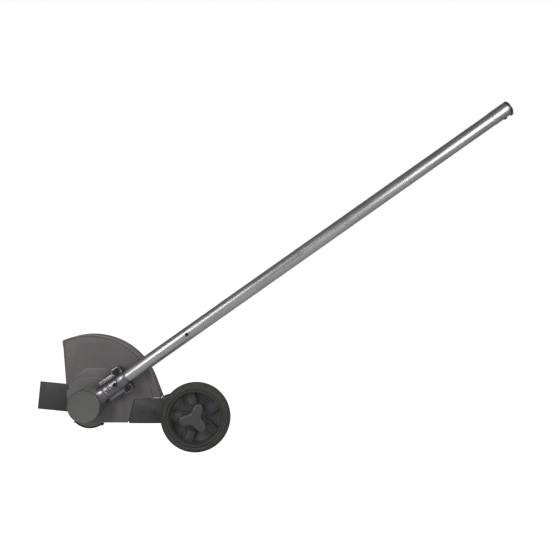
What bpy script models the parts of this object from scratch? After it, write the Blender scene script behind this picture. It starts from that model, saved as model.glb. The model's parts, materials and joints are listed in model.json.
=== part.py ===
"""Lawn edger attachment: a boom tube with a bevel gearcase, a guarded bar blade and a depth wheel.

The world origin is the middle of the boom's upper end, where the power head plugs on. +X points away
from the cut towards that end, +Z is up, and -Y faces the side that carries the gearcase and wheel.

Most pieces are modelled in one of three frames, each an empty:
  head   x and y as world X and Z, z from the blade's middle plane towards the gearcase side;
  boom   z up the boom from the point where the two gear axes cross, y as the head's z;
  axle   as the head, with its z axis on the wheel's axle.
"""

import math

import bmesh
import bpy
from mathutils import Matrix, Vector

GAP = 0.0003                      # clearance left between touching pieces

# boom
BOOM_ANGLE = math.radians(35.2)   # rise of the boom above level
BOOM_REACH = 0.917                # gear axes' crossing to the boom's upper end
BOOM_HEIGHT = 0.045               # boom axis in front of the blade's middle plane
TUBE_RADIUS = 0.012
TUBE_WALL = 0.0015
TUBE_FOOT = 0.0580                # lower end of the tube, along the boom
SOCKET_RADIUS = 0.0125            # the swaged last stretch of the tube
SOCKET_LENGTH = 0.030
SOCKET_TAPER = 0.005              # length of the cone below it
COLLAR_FLANGE = 0.0043
COLLAR_BORE = 0.0086
COLLAR_PLUG = 0.006               # how deep the collar sits in the tube
LUG_STANDS = 0.0023
LUG_HALF = 0.0035                 # half of the lug's width
BUTTON_SETBACK = 0.0160           # lock button's axis, below the boom's upper end
BUTTON_RADIUS = 0.00325
BUTTON_STANDS = 0.0020            # how far the button stands out of the tube
BUTTON_BASE = 0.0080              # button's inner end, from the boom's axis
BUTTON_RAMP = math.radians(20.0)  # slope that lets the button slip into its socket
LEAF_REACH = (-0.036, 0.003)      # ends of the spring leaf, from the button's axis
LEAF_HALF = 0.0025
LEAF_THICKNESS = 0.0008
SHAFT_RADIUS = 0.0040
SHAFT_FOOT = 0.0090
SHAFT_TOP = 0.8900
SHAFT_SQUARE = 0.0062             # across the flats of the shaft's driven end
SHAFT_SQUARE_LENGTH = 0.022
BUSHING_PLACES = {"lower_bushing": 0.219, "middle_bushing": 0.500, "upper_bushing": 0.790}
BUSHING_LENGTH = 0.030
RIVET_PLACE = 0.219
RIVET_HOLE = 0.0019
RIVET_SHANK = 0.0016
RIVET_HEAD = 0.0034
RIVET_FOOT = 0.0085               # rivet's inner end, from the boom's axis

# gearcase
DRUM_RADIUS = 0.0284
DRUM_BORE = 0.0225
DRUM_BACK = 0.0288                # gearcase's rear face, in front of the blade's middle plane
DRUM_FRONT = 0.0609
DRUM_FLOOR = 0.0313
BOSS_RADIUS = 0.0170
BOSS_BACK = 0.0190
COVER_RADIUS = 0.0288
COVER_BACK = 0.0620
COVER_FRONT = 0.0660
COVER_SPIGOT = 0.0575             # rear end of the cover's lip, inside the drum
COVER_SPIGOT_BORE = 0.0195
COVER_FACE = 0.0605               # inner face of the cover
BEARING_SEAT_WALL = 0.0030
BEARING_SEAT_BACK = 0.0550
NECK_RADIUS = 0.0148
NECK_BEARING_BORE = 0.0113
CLAMP_START = 0.0699
EAR_PLACE = 0.0785                # clamp screws, along the boom
EAR_OFFSET = 0.0174               # clamp screws, from the boom's axis
EAR_LENGTH = 0.0168
EAR_WIDTH = 0.0145
EAR_FRONT = 0.0070
EAR_BACK = 0.0100
NECK_END = EAR_PLACE + EAR_LENGTH / 2
SCREW_SEAT = 0.0040               # where a clamp screw's head sits, in front of the boom's axis
SCREW_SINK = 0.0054               # radius of the recess round that head
SET_SCREW_PLACE = 0.0655
SET_HOLE = 0.0040
FIN_REACH = (0.0130, 0.0190)      # a fin's root and edge, from the boom's axis
FIN_RUN = (0.0480, 0.0690)        # a fin's ends, along the boom
FIN_HEIGHTS = (-0.0050, 0.0030)
FIN_THICKNESS = 0.0020
LOCK_SLOT_ANGLE = 108.0
LOCK_SLOT_WIDTH = 0.0055
LOCK_SLOT_RUN = (0.0340, 0.0580)  # ends of the slot in the drum's side
INPUT_BEARING_PLACES = {"input_bearing_lower": 0.0225, "input_bearing_upper": 0.0305}
FRONT_BEARING_PLACE = 0.0552
INPUT_BEARING = (0.0043, 0.0110, 0.0070)     # bore radius, outer radius, width
FRONT_BEARING = (0.0033, 0.0065, 0.0050)
REAR_BEARING = (0.0053, 0.0130, 0.0080)

# bevel gears
PINION_TEETH = 14
GEAR_TEETH = 19
GEAR_MODULE = 0.0015
GEAR_FACE = 0.0070
GEAR_BACKLASH = 0.00040
PRESSURE_ANGLE = math.radians(20.0)
ADDENDUM = 0.78 * GEAR_MODULE
DEDENDUM = 1.25 * GEAR_MODULE
PINION_BACK = 0.0205
PINION_HUB = 0.0080
GEAR_HUB = 0.0090
OUTPUT_SHAFT = (-0.0140, 0.0530, 0.0540, 0.0600)     # foot, shoulder, neck and top
CIRCLIP_RADIUS = 0.0078
CIRCLIP_PLACE = (0.0394, 0.0404)

# blade and its seat
BLADE_LENGTH = 0.2032
BLADE_WIDTH = 0.0508
BLADE_THICKNESS = 0.0028
BLADE_TILT = math.radians(-5.6)
BLADE_BORE = 0.0130
FLANGE_RADIUS = 0.0300
FLANGE_HUB = 0.0052               # wall of the inner flange's hub
OUTER_FLANGE_RADIUS = 0.0240
OUTER_FLANGE_DEPTH = 0.0034
BLADE_NUT = (0.0170, 0.0080)      # across the flats, height

# guard
GUARD_RADIUS = 0.1232
GUARD_WALL = 0.0025
PLATE_INSET = 0.0006              # plate's edge, inside the rim's outer face
GUARD_FRONT = 0.0285              # outside of the guard's plate
GUARD_BACK = -0.0030              # free edge of the guard's rim
GUARD_CORNER = 113.85             # where the arc ends at the front, in degrees
GUARD_TANGENT = 21.0              # where the arc runs into the straight rear edge
GUARD_HEEL = (0.1285, 0.0089)     # foot of the straight rear edge
GUARD_STEP = (0.0800, 0.0067)     # inner corner of the plate's lower rear edge
GUARD_KNEE = (0.1090, 0.0088)     # where that edge levels out
GUARD_TOE = (0.0693, -0.0357)     # lower rear corner of the plate
GUARD_CHIN = (0.0005, -0.0074)    # centre of the plate's round bottom
CHIN_RADIUS = 0.0379
GUARD_CHEEK = (-0.0394, -0.0140)  # foot of the plate's front edge
GUARD_NOTCH = (0.0232, 0.0333)    # low and high ends of the notch in the front edge
NOTCH_FLOOR = -0.0375
SKIRT_SEAT_RADIUS = 0.0360
SKIRT_ARC = (221.0, 307.0)
LIP_LENGTH = 0.0110
TONGUE_FRONT = 0.0219
TONGUE_BACK = 0.0169
TONGUE = (0.0450, -0.0345, 0.1250, 0.0020)    # the tongue's lower front and upper rear corners
WEB_END = 0.0670                  # rear end of the web that joins the tongue to the plate
BAND_LIP = 0.0022                 # how far the rubber band's ends stand out
GUARD_SCREW_ANGLES = (125.2, 215.2, 305.2)
GUARD_SCREW_CIRCLE = 0.0254

# wheel and its bracket
BRACKET_FRONT = 0.0257
BRACKET_BACK = 0.0222
BRACKET_BOLTS = {"front": (0.0915, -0.0189), "rear": (0.1132, -0.0171)}
BOLT_HOLE = 0.0028
BRACKET_TOP = 0.0084              # upper edge of the bracket, below the guard
BRACKET_FOOT = -0.0370
BRACKET_END = 0.0705
SLOT_MARGIN = 0.0145              # plate left above and below the slot
WHEEL_CENTRE = (0.1940, -0.0205)
WHEEL_RADIUS = 0.0615
WHEEL_BACK = 0.0290
WHEEL_FRONT = 0.0670
RIM_OUTER = 0.0500
RIM_INNER = 0.0440
HUB_RADIUS = 0.0130
HUB_BORE = 0.0086
HUB_FRONT = 0.0517
WEB_BACK = 0.0400
WEB_FRONT = 0.0430
SPOKE_COUNT = 5
SPOKE_PHASE = math.radians(33.0)
SPOKE_HALF = 0.00825              # half of a spoke's width
SPOKE_WALL = 0.0016
SPOKE_FOOT = 0.0235               # inner end of a spoke, from the axle
SPOKE_FRONT = 0.0520
TYRE_SHOULDER = 0.0085            # height of the tyre's flat sides
TYRE_CROWN = 0.0060               # how much the tread falls away to its edges
BUSH_FLANGE = 0.0110
SLIDE_UP = 0.030                  # how far the axle can rise in its slot
SLIDE_DOWN = 0.008
SLOT_WIDTH = 0.0086
AXLE_RADIUS = 0.0040
AXLE_TOP = 0.0660
WASHER_RADIUS = 0.0110
WASHER_THICKNESS = 0.0015
SLEEVE_RADIUS = 0.0070
KNOB_BACK = 0.0560
KNOB_FRONT = 0.0700
KNOB_RADIUS = 0.0280
KNOB_WAIST = 0.0125               # radius between the lobes
INSERT_ACROSS = 0.0130
INSERT_TOP = 0.0632
KNOB_BORE_TOP = 0.0668
KNOB_PHASE = math.radians(70.0)

FACE_FORWARD = (math.radians(-90.0), 0.0, 0.0)   # turns a piece's z axis onto its frame's y axis
FACE_BACK = (math.radians(180.0), 0.0, 0.0)      # turns a piece's z axis round
FACE_DOWN = (0.0, math.radians(-90.0), 0.0)      # turns a piece's z axis onto its frame's -x axis


# ---------------------------------------------------------------- scene, frames and materials

def clear_scene():
    """Remove every object, and make the two collections."""
    for old in list(bpy.data.objects):
        bpy.data.objects.remove(old, do_unlink=True)
    for name in ("lawn_edger", "lawn_edger_tools"):
        bpy.context.scene.collection.children.link(bpy.data.collections.new(name))


def add_frame(name, matrix, parent=None):
    """Add an empty that pieces hang from."""
    empty = bpy.data.objects.new(name, None)
    empty.empty_display_size = 0.02
    empty.parent = parent
    empty.matrix_local = matrix
    bpy.data.collections["lawn_edger"].objects.link(empty)
    return empty


def make_frames():
    """Return the head, boom and axle frames."""
    along = Vector((math.cos(BOOM_ANGLE), 0.0, math.sin(BOOM_ANGLE)))
    place = Matrix.Translation(Vector((0.0, BOOM_HEIGHT, 0.0)) - along * BOOM_REACH)
    head = add_frame("head_frame", place @ Matrix.Rotation(math.radians(90.0), 4, "X"))
    turn = Matrix(((-along.z, 0.0, along.x), (along.x, 0.0, along.z), (0.0, 1.0, 0.0))).to_4x4()
    boom = add_frame("boom_frame", Matrix.Translation((0.0, 0.0, BOOM_HEIGHT)) @ turn, head)
    axle = add_frame("axle_frame", Matrix.Translation((*WHEEL_CENTRE, 0.0)), head)
    return head, boom, axle


def make_material(name, colour, roughness, metallic):
    """Return a plain Principled material."""
    material = bpy.data.materials.new(name)
    material.use_nodes = True
    shader = material.node_tree.nodes["Principled BSDF"]
    shader.inputs["Base Color"].default_value = (*colour, 1.0)
    shader.inputs["Roughness"].default_value = roughness
    shader.inputs["Metallic"].default_value = metallic
    material.diffuse_color = (*colour, 1.0)
    return material


def make_materials():
    """Return the materials, by the name of the finish."""
    finishes = {
        "brushed_tube": ((0.62, 0.62, 0.63), 0.32, 1.0),
        "cast_grey": ((0.14, 0.14, 0.135), 0.50, 0.6),
        "cast_silver": ((0.48, 0.48, 0.49), 0.38, 1.0),
        "guard_grey": ((0.115, 0.108, 0.108), 0.55, 0.2),
        "black_steel": ((0.040, 0.040, 0.041), 0.50, 0.5),
        "black_screw": ((0.020, 0.020, 0.022), 0.42, 0.8),
        "black_plastic": ((0.028, 0.028, 0.029), 0.50, 0.0),
        "rubber": ((0.030, 0.031, 0.027), 0.75, 0.0),
        "bright_steel": ((0.56, 0.57, 0.58), 0.25, 1.0),
        "bronze": ((0.42, 0.26, 0.12), 0.40, 1.0),
    }
    return {name: make_material(name, *values) for name, values in finishes.items()}


# ---------------------------------------------------------------- shapes

def place_object(name, data, frame, material, location, rotation):
    """Put data in the scene as a piece, or as a tool when it has no material."""
    piece = bpy.data.objects.new(name, data)
    piece.parent = frame
    piece.location = location
    piece.rotation_euler = rotation
    if material is None:
        bpy.data.collections["lawn_edger_tools"].objects.link(piece)
        piece.hide_render = True
        piece.display_type = "WIRE"
    else:
        bpy.data.collections["lawn_edger"].objects.link(piece)
        data.materials.append(material)
    return piece


def mesh_from(bm, name, smooth_angle=30.0):
    """Turn a bmesh into a mesh that is smooth except across its sharp edges."""
    mesh = bpy.data.meshes.new(name)
    bm.to_mesh(mesh)
    bm.free()
    mesh.shade_smooth()
    mesh.set_sharp_from_angle(angle=math.radians(smooth_angle))
    return mesh


def turned(name, profile, frame, material=None, location=(0, 0, 0), rotation=(0, 0, 0), steps=32):
    """Turn (radius, height) points about z: down the outer side, and back up the bore if there is one."""
    bm = bmesh.new()
    points = [bm.verts.new((radius, 0.0, height)) for radius, height in profile]
    for first, second in zip(points, points[1:]):
        bm.edges.new((first, second))
    if profile[0][0] > 0.0:
        bm.edges.new((points[-1], points[0]))
    mesh = bpy.data.meshes.new(name)
    bm.to_mesh(mesh)
    bm.free()
    piece = place_object(name, mesh, frame, material, location, rotation)
    turn = piece.modifiers.new("turn", "SCREW")
    turn.axis = "Z"
    turn.steps = steps
    turn.render_steps = steps
    turn.use_merge_vertices = True
    turn.merge_threshold = 0.00002
    turn.use_smooth_shade = True
    return piece


def ring(name, bore, radius, bottom, top, frame, material=None, **options):
    """Turn a plain ring, or a plain rod when the bore is 0."""
    profile = [(radius, top), (radius, bottom)]
    if bore > 0.0:
        profile += [(bore, bottom), (bore, top)]
    else:
        profile = [(0.0, top)] + profile + [(0.0, bottom)]
    return turned(name, profile, frame, material, **options)


def block(name, low, high, frame, material=None, rotation=(0, 0, 0), round_edges=0.0):
    """Make a box between two corners, turned about its middle."""
    size = Vector(high) - Vector(low)
    middle = (Vector(high) + Vector(low)) / 2.0
    bm = bmesh.new()
    bmesh.ops.create_cube(bm, size=1.0, matrix=Matrix.Diagonal((*size, 1.0)))
    piece = place_object(name, mesh_from(bm, name), frame, material, middle, rotation)
    if round_edges > 0.0:
        bevel = piece.modifiers.new("round", "BEVEL")
        bevel.width = round_edges
        bevel.segments = 3
        bevel.limit_method = "ANGLE"
    return piece


def prism(name, outlines, bottom, top, frame, material=None, location=(0, 0, 0), rotation=(0, 0, 0)):
    """Extrude a flat outline from bottom to top; the outlines after the first are its holes."""
    curve = bpy.data.curves.new(name, "CURVE")
    curve.dimensions = "2D"
    curve.fill_mode = "BOTH"
    curve.extrude = (top - bottom) / 2.0
    for outline in outlines:
        spline = curve.splines.new("POLY")
        spline.points.add(len(outline) - 1)
        spline.use_cyclic_u = True
        for point, (x, y) in zip(spline.points, outline):
            point.co = (x, y, 0.0, 1.0)
    flat = bpy.data.objects.new(name + "_curve", curve)
    bpy.context.scene.collection.objects.link(flat)
    bpy.context.view_layer.update()
    mesh = bpy.data.meshes.new_from_object(flat.evaluated_get(bpy.context.evaluated_depsgraph_get()))
    bpy.data.objects.remove(flat, do_unlink=True)
    bpy.data.curves.remove(curve)
    bm = bmesh.new()
    bm.from_mesh(mesh)
    bpy.data.meshes.remove(mesh)
    bmesh.ops.remove_doubles(bm, verts=bm.verts, dist=0.00002)
    bmesh.ops.dissolve_degenerate(bm, edges=bm.edges, dist=0.000001)
    bmesh.ops.recalc_face_normals(bm, faces=bm.faces)
    bmesh.ops.translate(bm, verts=bm.verts, vec=(0.0, 0.0, (top + bottom) / 2.0))
    return place_object(name, mesh_from(bm, name), frame, material, location, rotation)


def combine(piece, tool, operation="DIFFERENCE"):
    """Cut a tool from a piece, or join it on."""
    modifier = piece.modifiers.new(tool.name, "BOOLEAN")
    modifier.operation = operation
    modifier.object = tool
    modifier.solver = "EXACT"


def cut(piece, *tools):
    """Cut each tool from a piece."""
    for tool in tools:
        combine(piece, tool)


def join(piece, *tools):
    """Join each tool to a piece."""
    for tool in tools:
        combine(piece, tool, "UNION")


def arc(centre, radius, start, end, steps):
    """Return points on an arc, from start to end in degrees."""
    turns = [math.radians(start + (end - start) * i / steps) for i in range(steps + 1)]
    return [(centre[0] + radius * math.cos(a), centre[1] + radius * math.sin(a)) for a in turns]


def circle(centre, radius, steps=24):
    """Return the points of a closed circle."""
    return arc(centre, radius, 0.0, 360.0 - 360.0 / steps, steps - 1)


def polar(radius, degrees):
    """Return the point at a radius and an angle."""
    return (radius * math.cos(math.radians(degrees)), radius * math.sin(math.radians(degrees)))


def loft(name, rings, frame, material, location=(0, 0, 0), rotation=(0, 0, 0)):
    """Skin closed rings of equal length, the last one back to the first."""
    bm = bmesh.new()
    rows = [[bm.verts.new(point) for point in points] for points in rings]
    for row, other in zip(rows, rows[1:] + rows[:1]):
        for i in range(len(row)):
            j = (i + 1) % len(row)
            bm.faces.new((row[i], row[j], other[j], other[i]))
    bmesh.ops.recalc_face_normals(bm, faces=bm.faces)
    return place_object(name, mesh_from(bm, name), frame, material, location, rotation)


def cap_screw(name, shank, length, head, height, socket, frame, material, location, rotation=(0, 0, 0)):
    """Make a socket screw whose head sits on z = 0 and whose shank runs down from it."""
    edge = height * 0.12
    profile = [(0.0, height), (head - edge, height), (head, height - edge), (head, 0.0)]
    profile += [(shank, 0.0), (shank, -length), (0.0, -length)]
    screw = turned(name, profile, frame, material, location, rotation, steps=16)
    key = ring(name + "_key", 0.0, socket, height * 0.45, height + 0.001, frame, steps=6)
    key.parent = screw
    cut(screw, key)
    return screw


def hex_nut(name, across, bore, bottom, top, frame, material, location):
    """Make a hexagon nut or moulded-in insert."""
    nut = prism(name, [circle((0, 0), across / math.sqrt(3.0), 6), circle((0, 0), bore)],
                bottom, top, frame, material, location)
    return nut


# ---------------------------------------------------------------- boom

def build_boom(boom, finish):
    """Tube, collar, bushings and rivet."""
    top = BOOM_REACH - COLLAR_FLANGE - GAP
    taper = top - SOCKET_LENGTH
    inner = TUBE_RADIUS - TUBE_WALL
    profile = [(SOCKET_RADIUS, top), (SOCKET_RADIUS, taper), (TUBE_RADIUS, taper - SOCKET_TAPER)]
    profile += [(TUBE_RADIUS, TUBE_FOOT), (inner, TUBE_FOOT), (inner, top)]
    tube = turned("boom_tube", profile, boom, finish["brushed_tube"])
    button_z = BOOM_REACH - BUTTON_SETBACK
    button_hole = ring("tube_button_hole", 0.0, BUTTON_RADIUS + GAP, 0.005, 0.020, boom,
                       location=(0, 0, button_z), rotation=FACE_DOWN, steps=24)
    set_hole = ring("tube_set_hole", 0.0, 0.0030, 0.005, 0.020, boom,
                    location=(0, 0, SET_SCREW_PLACE), rotation=FACE_FORWARD, steps=16)
    rivet_hole = ring("tube_rivet_hole", 0.0, RIVET_HOLE, 0.005, 0.020, boom,
                      location=(0, 0, RIVET_PLACE), rotation=FACE_FORWARD, steps=16)
    cut(tube, button_hole, set_hole, rivet_hole)

    flange_foot = BOOM_REACH - COLLAR_FLANGE
    plug = inner - GAP
    profile = [(SOCKET_RADIUS, BOOM_REACH), (SOCKET_RADIUS, flange_foot), (plug, flange_foot)]
    profile += [(plug, flange_foot - COLLAR_PLUG), (COLLAR_BORE, flange_foot - COLLAR_PLUG)]
    profile += [(COLLAR_BORE, BOOM_REACH)]
    collar = turned("end_collar", profile, boom, finish["black_plastic"])
    lug = block("collar_lug", (-SOCKET_RADIUS - LUG_STANDS, -LUG_HALF, flange_foot),
                (-SOCKET_RADIUS + 0.0015, LUG_HALF, BOOM_REACH), boom)
    join(collar, lug)

    for name, place in BUSHING_PLACES.items():
        low, high = place - BUSHING_LENGTH / 2, place + BUSHING_LENGTH / 2
        bushing = ring(name, SHAFT_RADIUS + GAP, inner - GAP, low, high, boom, finish["black_plastic"],
                       steps=24)
        if name == "lower_bushing":
            pocket = ring("bushing_pocket", 0.0, RIVET_HOLE, RIVET_FOOT - 0.0005, 0.020, boom,
                          location=(0, 0, RIVET_PLACE), rotation=FACE_FORWARD, steps=16)
            cut(bushing, pocket)

    seat = TUBE_RADIUS + GAP
    profile = [(0.0, seat + 0.0009), (0.65 * RIVET_HEAD, seat + 0.0008), (RIVET_HEAD, seat)]
    profile += [(RIVET_SHANK, seat), (RIVET_SHANK, RIVET_FOOT), (0.0, RIVET_FOOT)]
    turned("tube_rivet", profile, boom, finish["black_screw"],
           location=(0, 0, RIVET_PLACE), rotation=FACE_FORWARD, steps=16)


def build_lock_button(boom, finish):
    """The spring button that locks the boom in the power head, and the leaf that carries it."""
    place = (0, 0, BOOM_REACH - BUTTON_SETBACK)
    crown = SOCKET_RADIUS + BUTTON_STANDS
    profile = [(0.0, crown), (BUTTON_RADIUS - 0.0008, crown), (BUTTON_RADIUS, crown - 0.0008)]
    profile += [(BUTTON_RADIUS, BUTTON_BASE), (0.0, BUTTON_BASE)]
    button = turned("lock_button", profile, boom, finish["black_screw"], place, FACE_DOWN, steps=24)
    ramp = block("button_ramp", (-0.006, -0.006, 0.0), (0.006, 0.006, 0.004), button,
                 rotation=(0.0, BUTTON_RAMP, 0.0))
    ramp.location = (-0.0033, 0.0, crown + 0.0010)
    cut(button, ramp)
    low, high = LEAF_REACH
    block("button_leaf", (-BUTTON_BASE + GAP, -LEAF_HALF, place[2] + low),
          (-BUTTON_BASE + GAP + LEAF_THICKNESS, LEAF_HALF, place[2] + high), boom, finish["bright_steel"])


# ---------------------------------------------------------------- gears and shafts

def tooth_ring(teeth, cone, scale, phase):
    """Return a bevel gear's outline at one end of its teeth, with the gear axes' crossing at the origin."""
    distance = GEAR_MODULE * math.hypot(PINION_TEETH, GEAR_TEETH) / 2.0
    rising = [(-DEDENDUM, -1), (0.0, -1), (ADDENDUM, -1)]
    tooth = rising + [(depth, 1) for depth, _ in rising[::-1]]
    points = []
    for i in range(teeth):
        middle = phase + 2.0 * math.pi * i / teeth
        for depth, side in tooth:
            radius = distance * math.sin(cone) + depth * math.cos(cone)
            height = distance * math.cos(cone) - depth * math.sin(cone)
            half = math.pi * GEAR_MODULE / 4 - GEAR_BACKLASH / 2 - depth * math.tan(PRESSURE_ANGLE)
            angle = middle + side * half / radius
            points.append((scale * radius * math.cos(angle), scale * radius * math.sin(angle),
                           scale * height))
    return points


def bevel_gear(name, teeth, mate, phase, bore, back, hub, frame, material, **options):
    """Make a straight bevel gear whose teeth point at the frame's origin."""
    cone = math.atan2(teeth, mate)
    distance = GEAR_MODULE * math.hypot(teeth, mate) / 2.0
    small = (distance - GEAR_FACE) / distance
    outer, inner = tooth_ring(teeth, cone, 1.0, phase), tooth_ring(teeth, cone, small, phase)
    front = min(point[2] for point in inner)

    def circle_ring(radius, height):
        return [(radius * math.cos(math.atan2(y, x)), radius * math.sin(math.atan2(y, x)), height)
                for x, y, _ in outer]

    rings = [circle_ring(bore, front + 0.0006), inner, outer, circle_ring(hub, back)]
    return loft(name, rings + [circle_ring(bore, back)], frame, material, **options)


def build_gears(head, boom, finish):
    """Pinion and drive shaft on the boom's axis, driven gear and output shaft on the head's."""
    bevel_gear("pinion", PINION_TEETH, GEAR_TEETH, math.radians(-90.0), SHAFT_RADIUS + GAP,
               PINION_BACK, PINION_HUB, boom, finish["bright_steel"])
    rod = ring("drive_shaft", 0.0, SHAFT_RADIUS, SHAFT_FOOT, SHAFT_TOP - SHAFT_SQUARE_LENGTH / 2, boom,
               finish["bright_steel"], steps=24)
    half = SHAFT_SQUARE / 2
    square = block("shaft_square", (-half, -half, SHAFT_TOP - SHAFT_SQUARE_LENGTH),
                   (half, half, SHAFT_TOP), boom)
    join(rod, square)

    half_pitch = math.pi / GEAR_TEETH
    bevel_gear("driven_gear", GEAR_TEETH, PINION_TEETH, -BOOM_ANGLE + half_pitch, REAR_BEARING[0] + 0.0002,
               BOOM_HEIGHT - DRUM_FLOOR - 0.0004, GEAR_HUB, head, finish["bright_steel"],
               location=(0, 0, BOOM_HEIGHT), rotation=FACE_BACK)
    thin, thick = FRONT_BEARING[0] - GAP, REAR_BEARING[0] - GAP
    foot, shoulder, neck, top = OUTPUT_SHAFT
    profile = [(0.0, top), (thin, top), (thin, neck), (thick, shoulder), (thick, foot), (0.0, foot)]
    turned("output_shaft", profile, head, finish["bright_steel"], steps=24)
    ring("gear_circlip", thick + GAP, CIRCLIP_RADIUS, *CIRCLIP_PLACE, head, finish["black_screw"], steps=24)


# ---------------------------------------------------------------- gearcase

def clamp_ear(name, side, back, front, boom):
    """Return the block of one clamp ear, as a tool."""
    middle = side * EAR_OFFSET
    return block(name, (middle - EAR_WIDTH / 2, back, EAR_PLACE - EAR_LENGTH / 2),
                 (middle + EAR_WIDTH / 2, front, EAR_PLACE + EAR_LENGTH / 2), boom)


def build_gearcase(head, boom, finish):
    """The casting: drum, boss, neck, fins and the rear half of the clamp."""
    profile = [(DRUM_RADIUS, DRUM_FRONT), (DRUM_RADIUS, DRUM_BACK), (BOSS_RADIUS, DRUM_BACK)]
    profile += [(BOSS_RADIUS, BOSS_BACK), (0.0, BOSS_BACK)]
    case = turned("gearcase", [(0.0, DRUM_FRONT)] + profile, head, finish["cast_grey"], steps=48)
    join(case, ring("case_neck", 0.0, NECK_RADIUS, 0.010, NECK_END, boom))
    for side, label in ((1, "upper"), (-1, "lower")):
        join(case, clamp_ear("case_ear_" + label, side, -EAR_BACK, 0.0010, boom))
        low, high = sorted((side * FIN_REACH[0], side * FIN_REACH[1]))
        for i, height in enumerate(FIN_HEIGHTS):
            join(case, block(f"case_fin_{label}_{i}", (low, height, FIN_RUN[0]),
                             (high, height + FIN_THICKNESS, FIN_RUN[1]), boom))
    rear_bore = REAR_BEARING[1] + GAP
    mouth, tail = DRUM_FRONT + 0.005, BOSS_BACK - 0.001
    profile = [(0.0, mouth), (DRUM_BORE, mouth), (DRUM_BORE, DRUM_FLOOR)]
    profile += [(rear_bore, DRUM_FLOOR), (rear_bore, tail), (0.0, tail)]
    cavity = turned("case_cavity", profile, head, steps=44)
    wide, beyond = TUBE_RADIUS + GAP, NECK_END + 0.010
    step = INPUT_BEARING_PLACES["input_bearing_lower"] - GAP
    profile = [(0.0, beyond), (wide, beyond), (wide, TUBE_FOOT - GAP), (NECK_BEARING_BORE, TUBE_FOOT - GAP)]
    profile += [(NECK_BEARING_BORE, step), (wide, step), (wide, PINION_HUB), (0.0, PINION_HUB)]
    neck_bore = turned("case_neck_bore", profile, boom)
    clamp_gap = block("case_clamp_gap", (-0.030, -0.0005, CLAMP_START), (0.030, 0.030, beyond), boom)
    set_hole = ring("case_set_hole", 0.0, SET_HOLE, 0.006, 0.020, boom, location=(0, 0, SET_SCREW_PLACE),
                    rotation=FACE_FORWARD, steps=24)
    cut(case, cavity, neck_bore, clamp_gap, set_hole)
    for side, label in ((1, "upper"), (-1, "lower")):
        cut(case, ring("case_ear_hole_" + label, 0.0, 0.0030, -0.012, 0.002, boom,
                       location=(side * EAR_OFFSET, 0, EAR_PLACE), rotation=FACE_FORWARD, steps=16))
    for i, angle in enumerate(GUARD_SCREW_ANGLES):
        cut(case, ring(f"case_screw_hole_{i}", 0.0, 0.0023, DRUM_BACK - 0.001, 0.0395, head,
                       location=(*polar(GUARD_SCREW_CIRCLE, angle), 0.0), steps=12))
    x, y = polar(DRUM_RADIUS - 0.003, LOCK_SLOT_ANGLE)
    low, high = LOCK_SLOT_RUN
    slot = block("case_lock_slot", (x - 0.006, y - LOCK_SLOT_WIDTH / 2, low),
                 (x + 0.006, y + LOCK_SLOT_WIDTH / 2, high), head,
                 rotation=(0.0, 0.0, math.radians(LOCK_SLOT_ANGLE)))
    cut(case, slot)


def cap_outline():
    """Return the clamp cap's end view: a half ring with an ear at each side."""
    reach = EAR_OFFSET + EAR_WIDTH / 2
    foot = math.degrees(math.asin(EAR_FRONT / NECK_RADIUS))
    points = [(reach, GAP), (reach, EAR_FRONT)] + arc((0, 0), NECK_RADIUS, foot, 180.0 - foot, 16)
    points += [(-reach, EAR_FRONT), (-reach, GAP)]
    return points + arc((0, 0), TUBE_RADIUS + GAP, 178.0, 2.0, 16)


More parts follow.
